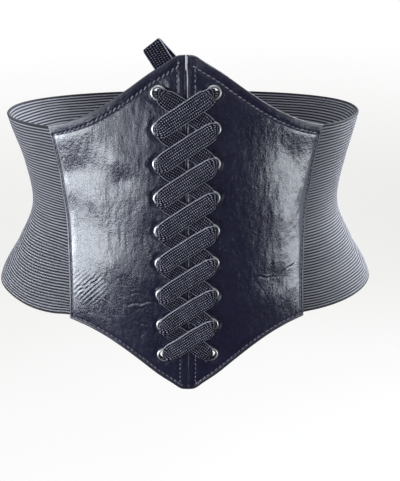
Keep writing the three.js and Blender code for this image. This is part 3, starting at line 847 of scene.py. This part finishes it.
# Heights from the panel's inner face
def eyeletProfile():
    front = panel["thickness"] - 0.14
    hole, flange = eyelet["hole"], eyelet["flange"]
    crestAt = (hole + flange) / 2
    barrel = hole + eyelet["wall"]
    washerBack = -gap - eyelet["washerThickness"]
    rows = [(barrel, -0.12, 0.0), (barrel, front, 0.0), (flange - 0.25, front, 0.0)]
    crown = (crestAt, front + 0.12), ((flange - hole) / 2, eyelet["rimHeight"])
    # The mask paints shade on the crown's inner slope, inside the barrel and partly on the washer's curl
    rows += arc(*crown, -6, 100, 9) + arc(*crown, 112, 150, 3, 0.5) + arc(*crown, 160, 172, 2, 1.0)
    rows += [(hole - 0.02, front - 0.15, 1.0), (hole, front - 0.6, 1.0), (hole, 0.5, 1.0), (hole, -0.1, 1.0)]
    rows += arc((hole + 0.45, washerBack + 0.18), (0.45, 0.3), 180, 300, 5, 0.3)
    rows += [(hole + 0.85, washerBack + 0.12, 0.0), (eyelet["washer"] - 0.2, washerBack + 0.05, 0.0)]
    rows += [(eyelet["washer"], washerBack + 0.18, 0.0), (eyelet["washer"] - 0.05, -0.1, 0.0)]
    return rows


ringPoints, ringFaces, ringLay = turned(eyeletProfile(), 44)
for side, word in bothSides:
    for row in range(eyelet["rows"]):
        along, z = eyeletPlace(row, side)
        points = standOn(ringPoints, along, z, panel["inner"])
        lay = ringLay + [row * 7.3, 0, 0]
        piece = makeMesh(f"ring_{word}_{row + 1}", points, ringFaces, lay, eyeletMetal)
        standFor(piece, f"eyelet_{word}_{row + 1}")
print("eyelets made")

tab = {
    "thickness": 1.2,
    "halfOverlap": 10,
    "bareRun": 8,  # between the overlap and the elastic
    "runOut": 1,
    "studHeights": [45, 15, -15, -45],
    "studHole": 2.6,
    "stitchInset": 2.2,
    "marginPuff": 0.12,
    "grooveDepth": 0.26,
    "grooveWidth": 0.5,
    "stitchLook": (3.0, 0.1, 0.28, 0.68),  # pitch, slant, radius, length as a share of the pitch
    "gridRound": (0.2, 0.7, 5),  # finest and coarsest cell, how far in the fine ones reach
    "gridUp": (0.2, 0.75, 5),
    "roll": 0.6,
}
tabReach = tab["halfOverlap"] + tab["bareRun"] + elastic["underLeather"]
tabHalf = elastic["height"] / 2
tabInner = elastic["thickness"] + gap


def tabLift(fromCentre, side):
    start = tabReach - elastic["underLeather"] - tab["runOut"]
    end = tab["halfOverlap"] + tab["runOut"]
    rise = smoothStep(-start, -end, -fromCentre) * (tab["thickness"] + gap)
    return rise if side > 0 else 0 * rise


def tabRelief(fromCentre, z, side):
    edge = np.minimum(tabReach - fromCentre, fromCentre + tab["halfOverlap"])
    edge = np.minimum(tabHalf - np.abs(z), edge)
    margin = np.sin(np.pi * np.clip(edge / tab["stitchInset"], 0, 1)) * tab["marginPuff"]
    relief = margin - tab["grooveDepth"] * bell(edge - tab["stitchInset"], tab["grooveWidth"])
    relief += 0.1 * softNoise(fromCentre / 9 + 30, z / 14 + 30, 51 + side) * smoothStep(1, 5, edge)
    relief += 0.03 * softNoise(fromCentre / 2 + 30, z / 4 + 30, 57 + side)
    for height in tab["studHeights"]:
        relief -= 0.12 * smoothStep(8.5, 5.4, np.hypot(fromCentre, z - height))
    return relief, edge


def makeTab(side, word):
    columns = tabReach - fineEnds(tabReach + tab["halfOverlap"], *tab["gridRound"])
    rows = fineEnds(2 * tabHalf, *tab["gridUp"]) - tabHalf
    fromCentre, z = np.meshgrid(columns, rows, indexing="ij")
    relief, edge = tabRelief(fromCentre, z, side)
    half, middle = tab["thickness"] / 2, tabInner + tab["thickness"] / 2 + tabLift(fromCentre, side)
    rolled = rounding(edge, tab["roll"])
    along = side * (halfRound(z) - fromCentre)
    outer = place(along, z, middle + half * rolled + np.minimum(relief, 0.1) * rolled)
    inner = place(along, z, middle - half * rolled)
    keep = clearCells(fromCentre, z, [(0, height) for height in tab["studHeights"]], tab["studHole"])
    lay = [along, z, smoothStep(1.8, 0.2, edge)]
    piece = makeSheet("tab_" + word, side, outer, inner, lay, keep, tabLeather)
    return standFor(piece, "back_tab_" + word)


tabs = {word: makeTab(side, word) for side, word in bothSides}


# Heights from the inner tab's inner face
def studProfile():
    front = 2 * tab["thickness"] + 3 * gap - 0.2
    rows = [(0.001, -1.3, 0.0), (3.4, -1.3, 0.0), (4.2, -1.22, 0.0), (4.5, -1.0, 0.0), (4.5, -0.5, 0.0)]
    rows += [(4.25, -0.3, 0.0), (2.0, -0.3, 0.0), (2.0, front, 0.0), (4.7, front, 0.0)]
    rows += arc((4.62, front + 0.36), (0.38, 0.36), -80, 100, 8)
    rows += [(4.1, front + 0.62, 0.0), (3.9, front + 0.66, 0.0)]
    for degrees in (12, 26, 40, 55, 70, 82):
        rows += arc((0, front + 0.66), (3.9, 0.94), degrees, degrees, 1)
    return rows + [(0.001, front + 1.6, 0.0)]


studPoints, studFaces, studLay = turned(studProfile(), 48, closed=False)
for n, z in enumerate(tab["studHeights"]):
    points = standOn(studPoints, float(halfRound(z)), z, tabInner)
    piece = makeMesh(f"stud_{n + 1}", points, studFaces, studLay, studMetal)
    standFor(piece, f"back_stud_{n + 1}")
print("tabs and studs made")

lace = {
    "width": 11,
    "thickness": 1.3,
    "knotOffset": -2.5,
    "knotHalf": (6, 6.5, 2.4),
    "knotEntry": 2,
    "loopStand": 14,
    "loopLean": 32.5,
    "loopSpread": 10.5,
    "loopOpening": 1.1,
    "tailLength": 34,
    "tailSpread": 24,
    "worn": (0.65, 1.0),  # painted light of the under and the over passes: the under passes painted in shade
    # painted light of the loop and the tails
    "wornLoop": 0.45,
    "loopWiden": 1.15,
    "pleats": (3.2, 0.42),  # waves across the braid and depth where it is gathered
    "unevenness": 0.12,
    # lean, reach, width, lift of each turn of the knot
    "knotTurns": [(90, 1.0, 7.5, 0.0), (35, 0.86, 6.2, 0.25), (-40, 0.86, 6.2, 0.1)],
}
neckOffset = 0.41 * eyelet["hole"]
# width, thickness and offset where a hole holds one pass, and where it holds two
necks = {1: (4.5, 2.3, 0.35), 2: (3.6, 1.85, neckOffset)}
rimTop = panelOuter + gap + eyelet["rimHeight"]
backMouth = panel["inner"] - gap - eyelet["washerThickness"] - gap
neckSink = 0.37 * eyelet["rimHeight"]
settleReach = 2.4
knotOut = panel["inner"] - gap - lace["knotHalf"][2]


def layerLift(layer):
    return gap + lace["thickness"] / 2 + layer * (lace["thickness"] + gap)


# A station is along, height, out, the across direction in the surface, width and thickness, then the spacing
# of its cuts and its painted light.
def station(along, z, out, across, width, thickness, spacing=0.8, worn=0.6):
    acrossAlong, acrossUp = across
    return [float(v) for v in (along, z, out, acrossAlong, acrossUp, width, thickness, spacing, worn)]


def throughEyelet(row, side, layer):
    along, z = eyeletPlace(row, side)
    width, thickness, offset = necks[1 if row in (0, eyelet["rows"] - 1) else 2]
    along += side * (offset if layer else -offset)
    # passes through the holes take less painted light: painted shade in the eyelets
    return [
        station(along, z, out, (0, 1), width, thickness, 1.2, 0.4)
        for out in (backMouth + neckSink, (backMouth + rimTop) / 2, rimTop - neckSink)
    ]


# How a pass bends over a rim, on the front and at the back: reach, lift, width, thickness, turned
mouthStations = {
    1: [
        [(0.2, 0.3, 0.5, 1.3, 0.1), (0.32, 0.75, 0.62, 1.2, 0.3), (0.58, 1.0, 0.76, 1.1, 0.7)]
        + [(0.95, 1, 0.92, 1, 1), (1.4, 0.8, 1, 1, 1)],
        [(-0.33, 0.25, 0.46, 1.3, 0), (-0.36, 0.56, 0.6, 1.2, 0), (-0.24, 0.86, 0.72, 1.12, 0.05)]
        + [(0.05, 1.02, 0.82, 1.08, 0.35), (0.45, 1.04, 0.93, 1, 0.8), (0.9, 1, 1, 1, 1)],
    ],
    -1: [
        [(0.35, 0.56, 0.38, 1.15, 0.3), (0.61, 0.98, 0.58, 1.05, 0.7), (0.95, 1, 0.85, 1, 1)],
        [(-0.19, 0.39, 0.36, 1.2, 0), (0.02, 0.87, 0.46, 1.15, 0), (0.36, 1.06, 0.68, 1.05, 0.7)]
        + [(0.9, 1, 1, 1, 1)],
    ],
}


def halfRun(start, end, layer, middleLayer, facing):
    start, end = np.array(start, dtype=float), np.array(end, dtype=float)
    way = unit(end - start)
    level = np.array([np.sign(way[0]), 0.0])
    across = np.array([-way[1], way[0]]) * level[0]
    rim = rimTop if facing > 0 else backMouth
    face = panelOuter if facing > 0 else panel["inner"]
    spacing = 0.8 if facing > 0 else 1.6
    # front passes take their layer's painted light, back passes the under passes' painted shade
    worn = lace["worn"][middleLayer] if facing > 0 else lace["worn"][0]
    settled = (face + facing * layerLift(middleLayer), across, lace["width"], lace["thickness"])
    rows = []
    for reach, lift, width, thickness, turnedBy in mouthStations[facing][layer]:
        heading = (level * (1 - turnedBy) + way * turnedBy) * reach * eyelet["flange"]
        aside = unit(np.array([0, 1]) * (1 - turnedBy) + across * turnedBy)
        at = start + heading
        out = rim + facing * layerLift(layer) * lift
        flat, thick = lace["width"] * width, lace["thickness"] * thickness
        rows.append(station(*at, out, aside, flat, thick, spacing, worn))
    at = start + way * settleReach * eyelet["flange"]
    rows.append(station(*at, *settled, spacing, worn))
    return rows, station(*((start + end) / 2), *settled, spacing, worn)


def runAcross(start, end, layers, middleLayer, facing):
    first, middle = halfRun(start, end, layers[0], middleLayer, facing)
    second, _ = halfRun(end, start, layers[1], middleLayer, facing)
    return [*first, middle, *second[::-1]]


def lacingStations():
    last = eyelet["rows"] - 1
    knotAt = (lace["knotOffset"], eyeletHoles[0][1])

    def intoKnot(side):
        end = (knotAt[0] + side * lace["knotEntry"], knotAt[1])
        rows, middle = halfRun(eyeletPlace(0, side), end, 0, 0, -1)
        return rows[:2] + [station(*end, knotOut, (0, 1), 3.3, lace["thickness"], 1.6)]

    rows = [*intoKnot(-1)[::-1], *throughEyelet(0, -1, 0)]
    for row in range(last):
        rows += runAcross(eyeletPlace(row, -1), eyeletPlace(row + 1, 1), (0, 0), 0, 1)
        rows += throughEyelet(row + 1, 1, 0)[::-1]
        rows += runAcross(eyeletPlace(row + 1, 1), eyeletPlace(row + 1, -1), (0, 0), 0, -1)
        rows += throughEyelet(row + 1, -1, 0)
    for row in range(last, 0, -1):
        start, end = (0 if row == last else 1), (0 if row == 1 else 1)
        rows += runAcross(eyeletPlace(row, -1), eyeletPlace(row - 1, 1), (start, end), 1, 1)
        rows += throughEyelet(row - 1, 1, end)[::-1]
        if row > 1:
            rows += runAcross(eyeletPlace(row - 1, 1), eyeletPlace(row - 1, -1), (1, 1), 1, -1)
            rows += throughEyelet(row - 1, -1, 1)
    return rows + intoKnot(1)


def smoothThrough(knots, values, at):
    slopes = np.zeros_like(values)
    spans = np.diff(knots)[:, None]
    rises = np.diff(values, axis=0) / spans
    slopes[1:-1] = (rises[:-1] * spans[1:] + rises[1:] * spans[:-1]) / (spans[1:] + spans[:-1])
    slopes[0], slopes[-1] = rises[0], rises[-1]
    i = np.clip(np.searchsorted(knots, at, side="right") - 1, 0, len(knots) - 2)
    span = (knots[i + 1] - knots[i])[:, None]
    t = (at - knots[i])[:, None] / span
    return hermite(t, span, values[i], slopes[i], values[i + 1], slopes[i + 1])


# The braid's section: (share of half the width, share of half the thickness), round from one edge
def braidSection():
    places = np.linspace(0.95, -0.95, 15)
    reach = np.abs(places)
    beside, cord = smoothStep(0.8, 0.9, reach), smoothStep(0.88, 0.95, reach)
    top = list(zip(places, 1.0 + 0.12 * (1 - reach**2) - 0.16 * beside + 0.3 * cord))
    bottom = [(-w, -t) for w, t in top]
    return np.array([(1.0, -0.35), (1.0, 0.35), *top, (-1.0, 0.35), (-1.0, -0.35), *bottom])


section = braidSection()


# A flat braid along stations, gathered into pleats where it is narrower than it lies flat
def braidMesh(rows, startAlong):
    rows = np.array(rows)
    middles = place(rows[:, 0], rows[:, 1], rows[:, 2])
    _, _, around, up = surfaceFrame(rows[:, 0], rows[:, 1])
    across = around * rows[:, 3:4] + up * rows[:, 4:5]
    for i in range(1, len(across)):
        if np.dot(across[i], across[i - 1]) < 0:
            across[i] = -across[i]
    knots = runLengths(middles)
    at = [0.0]
    for i in range(len(knots) - 1):
        steps = max(int(math.ceil((knots[i + 1] - knots[i]) / min(rows[i, 7], rows[i + 1, 7]))), 1)
        at += list(np.linspace(knots[i], knots[i + 1], steps + 1)[1:])
    at = np.array(at)
    centre = smoothThrough(knots, middles, at)
    sides = smoothThrough(knots, across, at)
    width = np.interp(at, knots, rows[:, 5])
    thickness = np.interp(at, knots, rows[:, 6])
    worn = np.interp(at, knots, rows[:, 8])
    kernel = np.array([1, 2, 3, 2, 1]) / 9
    width = np.convolve(np.pad(width, 2, mode="edge"), kernel, mode="valid")
    way = unit(np.gradient(centre, axis=0))
    sides = unit(sides - way * np.sum(sides * way, axis=1, keepdims=True))
    w, t = section.T
    gathered = 1 - width[:, None] / lace["width"]
    waves, deep = lace["pleats"]
    pleats = np.sin(w * waves * np.pi * 0.5 + 0.6) * gathered * deep
    pleats += softNoise(w * 1.4 + 20, at[:, None] / 6 + startAlong, 71) * lace["unevenness"]
    raised = t * thickness[:, None] / 2 + pleats * (np.abs(w) < 0.99)
    points = swept(centre, sides, np.cross(way, sides), w * width[:, None] / 2, raised)
    count = len(section)
    faces = gridCells(len(at), count)[:-1].reshape(-1, 4).tolist()
    lay = np.broadcast_arrays(w * lace["width"] / 2, at[:, None] + startAlong, worn[:, None])
    for first, order in ((0, 1), ((len(at) - 1) * count, -1)):
        for k in range(count // 2 - 1):
            cap = [first + k, first + k + 1, first + count - 2 - k, first + count - 1 - k]
            faces.append(cap[::order])
    return points.reshape(-1, 3), faces, np.stack(lay, -1).reshape(-1, 3)


def leaning(degrees):
    turn = math.radians(degrees)
    return np.array([-math.sin(turn), math.cos(turn)])


def strandStations(start, way, length, depth, rows, widen=1.0):
    across = (abs(way[1]), -way[0] * np.sign(way[1]))
    return [
        station(
            start[0] + way[0] * length * share,
            start[1] + way[1] * length * share,
            knotOut + (depth - knotOut) * freed,
            across,
            lace["width"] * (0.5 + 0.5 * freed * widen),
            lace["thickness"],
            worn=lace["wornLoop"],
        )
        for share, freed in rows
    ]


def loopStations():
    knotAt = np.array([lace["knotOffset"], eyeletHoles[0][1]])
    way, backWay = leaning(lace["loopLean"]), leaning(lace["loopLean"] + lace["loopSpread"])
    edgeRise = float(panelTop(eyelet["insetTop"] / float(seamAlong(panel["sideHalf"])))) - knotAt[1]
    length = edgeRise / way[1] + lace["loopStand"]
    tip = knotAt + way * length
    backStart = tip - backWay * length
    near = panel["inner"] - layerLift(0)
    far = near - lace["thickness"] - lace["loopOpening"]
    radius = (near - far) / 2
    frontRows = [(0, 0), (0.3, 0.9), (0.6, 1), (0.8, 1), (0.95, 1)]
    backRows = [(0.05, 0), (0.35, 0.85), (0.6, 1), (0.8, 1), (0.95, 1)]
    widen = lace["loopWiden"]
    front = strandStations(knotAt, way, length - radius, near, frontRows, widen)
    back = strandStations(backStart, backWay, length - radius, far, backRows, widen)
    fold = []
    for degrees in (0, 30, 60, 90, 120, 150, 180):
        turn, mixed = math.radians(degrees), degrees / 180
        heading = way * (1 - mixed) + backWay * mixed
        at = tip - heading * radius * (1 - math.sin(turn))
        across = (heading[1], -heading[0])
        out = (near + far) / 2 + radius * math.cos(turn)
        width = lace["width"] * (0.5 + 0.5 * widen) * (1 - 0.12 * math.sin(turn) ** 3)
        fold.append(station(*at, out, across, width, lace["thickness"], 0.4, lace["wornLoop"]))
    return front + fold + back[::-1]


def tailStations(side):
    start = (lace["knotOffset"], eyeletHoles[0][1])
    way = leaning(side * (180 - lace["tailSpread"]))
    rows = [(0, 0), (0.3, 0.9), (0.6, 1), (0.85, 1), (1, 1)]
    return strandStations(start, way, lace["tailLength"], backMouth - layerLift(2), rows)


# The knot: the braid wound round itself in three flat turns
def knotTurns():
    half = lace["knotHalf"]
    turns = []
    for lean, reach, width, lift in lace["knotTurns"]:
        angle = math.radians(lean)
        rows = []
        for degrees in range(0, 375, 15):
            turn = math.radians(degrees)
            run = math.cos(turn) * reach
            along = lace["knotOffset"] + run * half[0] * math.sin(angle) * 0.9
            z = eyeletHoles[0][1] + run * half[1] * math.cos(angle) * 0.9
            out = knotOut + math.sin(turn) * (half[2] - 0.75 + lift)
            across = (math.cos(angle), -math.sin(angle))
            rows.append(station(along, z, out, across, width, lace["thickness"]))
        turns.append(rows)
    return turns


strands = [(lacingStations(), 0), (loopStations(), 1300), (tailStations(-1), 1500), (tailStations(1), 1600)]
strands += [(rows, 1700 + 60 * n) for n, rows in enumerate(knotTurns())]
braid = joined([braidMesh(*strand) for strand in strands])
standFor(makeMesh("lace_braid", *braid, laceBraid), "lace")
print("lace made")


# Stitches: short threads that rise from one hole and sink in the next
def stitchRun(path, look, outAt, side, seed):
    pitch, slant, radius, lengthShare = look
    run = runLengths(path)
    count = int(run[-1] / pitch)
    length = pitch * lengthShare
    random = np.random.default_rng(seed)
    sides, steps = 7, 7
    turns = np.linspace(0, 2 * math.pi, sides, endpoint=False)
    rise = np.sqrt(np.clip(1 - np.linspace(-1, 1, steps) ** 2, 0, 1))
    thick = radius * (0.55 + 0.45 * rise)[:, None]
    faces = gridCells(steps, sides)[:-1, :, [0, 3, 2, 1]].reshape(-1, 4).tolist()
    for first, order in ((0, -1), ((steps - 1) * sides, 1)):
        for corners in ((0, 1, 2, 3), (0, 3, 4, 5), (0, 5, 6)):
            faces.append([first + k for k in corners][::order])
    stitches = []
    for n in range(count):
        start = (n + 0.5) * run[-1] / count - length / 2 + random.uniform(-0.1, 0.1)
        ahead = np.linspace(start, start + length, steps)
        along, z = np.interp(ahead, run, path[:, 0]), np.interp(ahead, run, path[:, 1])
        heading = unit(np.array([along[-1] - along[0], z[-1] - z[0]]))
        drift = np.linspace(-0.5, 0.5, steps) * length * (slant + random.uniform(-0.04, 0.04))
        along, z = along - heading[1] * drift, z + heading[0] * drift
        middle = place(side * along, z, outAt(along, z) + radius * (1.9 * rise - 1.0))
        _, out, _, _ = surfaceFrame(side * along, z)
        way = unit(np.gradient(middle, axis=0))
        flat = unit(np.cross(way, out))
        rings = swept(middle, flat, np.cross(flat, way), np.cos(turns) * thick, np.sin(turns) * thick)
        # The third value paints some stitches in shade, at random
        lay = np.broadcast_arrays((ahead - start)[:, None] + n, turns, random.uniform(0.25, 1))
        stitches.append((rings.reshape(-1, 3), faces, np.stack(lay, -1).reshape(-1, 3)))
    return stitches


def insetEdge(edge, inset, shares):
    z = edge(shares)
    along = slitEdge(z) + (seamAlong(z) - slitEdge(z)) * shares
    points = np.stack([along, z], -1)
    way = unit(np.gradient(points, axis=0))
    inward = np.stack([-way[:, 1], way[:, 0]], -1) * (-1 if edge is panelTop else 1)
    return points + inward * inset


def panelStitches(side, word):
    def outAt(along, z):
        across = (along - slitEdge(z)) / (seamAlong(z) - slitEdge(z))
        _, relief, _, warp = panelRelief(side, across, z)
        return panelOuter + np.maximum(relief, -0.6) + warp + 0.08

    top = insetEdge(panelTop, panel["stitchTop"], np.linspace(*panel["topRun"], 120))
    bottom = insetEdge(panelBottom, panel["stitchBottom"], np.linspace(*panel["bottomRun"], 120))
    heights = np.linspace(*panel["seamRun"], 80)
    seam = np.stack([seamAlong(heights) - panel["stitchSide"], heights], -1)
    heights = np.linspace(tipBottom + 4.5, tipTop - 7.0, 80)
    slit = np.stack([slitHalf(heights) + panel["stitchSlit"], heights], -1)
    looks = [panel["topLook"][side], *panel["stitchLooks"]]
    runs = []
    for n, (path, look) in enumerate(zip((top, bottom, seam, slit), looks)):
        runs += stitchRun(path, look, outAt, side, 81 + n)
    return standFor(makeMesh("stitches_" + word, *joined(runs), seamThread))


stitches = {word: panelStitches(side, word) for side, word in bothSides}


def tabStitches(side, word):
    inset = tab["stitchInset"]

    def outAt(along, z):
        fromCentre = halfRound(z) - along
        relief, _ = tabRelief(fromCentre, z, side)
        return tabInner + tab["thickness"] + tabLift(fromCentre, side) + relief + 0.05

    free, sewn = inset - tab["halfOverlap"], tabReach - inset
    top = tabHalf - inset
    heights = np.linspace(-top, top, 60)
    level = np.linspace(free, sewn, 40)
    paths = [np.stack([halfRound(heights) - sewn, heights], -1)]
    paths += [np.stack([halfRound(end) - level, level * 0 + end], -1) for end in (top, -top)]
    if side > 0:
        paths.append(np.stack([halfRound(heights) - free, heights], -1))
    runs = []
    for n, path in enumerate(paths):
        runs += stitchRun(path, tab["stitchLook"], outAt, side, 90 + n)
    return standFor(makeMesh("tab_stitches_" + word, *joined(runs), seamThread))


tabThreads = {word: tabStitches(side, word) for side, word in bothSides}
print("stitches made")

stage = {"floorHeight": -850, "radius": 3200, "wall": 3000, "cove": 1200, "glow": 0.9}


def makeStage():
    low, cove = stage["floorHeight"], stage["cove"]
    rows = [(0.001, low, 0), (stage["radius"] - cove, low, 0)]
    rows += arc((stage["radius"] - cove, low + cove), (cove, cove), -84, 0, 15)
    rows.append((stage["radius"], low + stage["wall"], 0))
    finish = Finish("pale floor")
    where = finish.add("TexCoord", {}, {}, "Object")
    tone = finish.mix(finish.noise(where, 1.5, 2.0), shade(0.12, 0.12, 0.118), shade(0.15, 0.15, 0.15))
    height = finish.add("SeparateXYZ", {}, {0: where}, 2)
    foot = low * 0.001
    lit = finish.spread(height, foot, foot + 0.9)
    lit = finish.mix(lit, shade(0.86, 0.85, 0.835), shade(1.1, 1.1, 1.1))
    glow = {"Specular IOR Level": 0.0, "Emission Color": lit, "Emission Strength": stage["glow"]}
    paint = finish.surface(tone, 0.9, None, glow)
    floor = makeMesh("studio_floor", *turned(rows, 96, closed=False), paint)
    floor.visible_glossy = False
    floor.visible_diffuse = False


makeStage()

studio = {
    "sky": [(0.15, shade(0.07, 0.075, 0.1)), (0.65, shade(0.93, 0.96, 1.0))],
    "skyStrength": 0.32,
    "glass": (0.88, 0.94, 1.0),
    # name, turn from and to, height angle from and to, distance, brightness
    "lamps": [
        ("left window", -62, -33, -18.5, -3, 1.5, 6.1),
        ("left window side", -33, -15, -16, -2, 1.5, 1.9),
        ("left edge", -104, -66, -17, 10, 1.5, 8.5),
        ("right window", 42, 84, -17, -5, 1.5, 4.7),
        ("left rim", -140, -110, 0, 40, 1.6, 1.6),
        ("right rim", 104, 138, 4, 45, 1.6, 17),
        ("top panel", -35, 15, 42, 82, 1.7, 1.3),
        ("back fill", 150, 210, 20, 60, 2.0, 1.6),
    ],
}


# The way to a point round and above the middle, both in degrees
def wayTo(turn, lift):
    turn, lift = math.radians(turn), math.radians(lift)
    return Vector((math.sin(turn) * math.cos(lift), -math.cos(turn) * math.cos(lift), math.sin(lift)))


# A lamp or camera that looks at a point
def aimed(name, data, at, aim):
    holder = bpy.data.objects.new(name, data)
    holder.location = at
    holder.rotation_euler = (aim - at).to_track_quat("-Z", "Y").to_euler()
    bpy.context.scene.collection.objects.link(holder)
    return holder


def makeStudio():
    air = Finish("studio", bpy.data.worlds)
    where = air.add("TexCoord", {}, {}, "Generated")
    toward = air.add("VectorMath", {"operation": "DOT_PRODUCT"}, {0: where, 1: (0.0, 0.3, 0.3)}, "Value")
    sky = air.add("ValToRGB", {"stops": studio["sky"]}, {0: toward + 0.5})
    light = air.add("Background", {}, {0: sky, "Strength": studio["skyStrength"]})
    air.add("OutputWorld", {}, {0: light})
    bpy.context.scene.world = air.owner
    for name, left, right, low, high, distance, brightness in studio["lamps"]:
        lamp = bpy.data.lights.new(name, "AREA")
        lamp.shape = "RECTANGLE"
        lamp.size = 2 * distance * math.tan(math.radians((right - left) / 2))
        lamp.size_y = 2 * distance * math.tan(math.radians((high - low) / 2))
        lamp.energy = brightness * math.pi * lamp.size * lamp.size_y
        lamp.color = studio["glass"]
        at = wayTo((left + right) / 2, (low + high) / 2) * distance
        aimed(name, lamp, at, Vector()).visible_camera = False


makeStudio()

# Metres and degrees, and the focal length in the image's pixels
view = {"distance": 0.54, "elevation": 16.1, "azimuth": -0.5, "aside": 0.0098, "above": -0.0307, "focal": 780}


def makeCamera():
    back = wayTo(view["azimuth"], view["elevation"])
    right = wayTo(view["azimuth"] + 90, 0)
    up = back.cross(right)
    lens = bpy.data.cameras.new("photo camera")
    lens.sensor_fit = "AUTO"
    lens.sensor_width = 36
    lens.lens = 36 * view["focal"] / 481
    lens.clip_start, lens.clip_end = 0.01, 20
    aim = right * view["aside"] + up * view["above"]
    bpy.context.scene.camera = aimed("photo camera", lens, back * view["distance"], aim)


makeCamera()
bpy.context.scene.view_settings.view_transform = "Standard"
bpy.context.scene.view_settings.look = "None"
print("stage, lights and camera made")
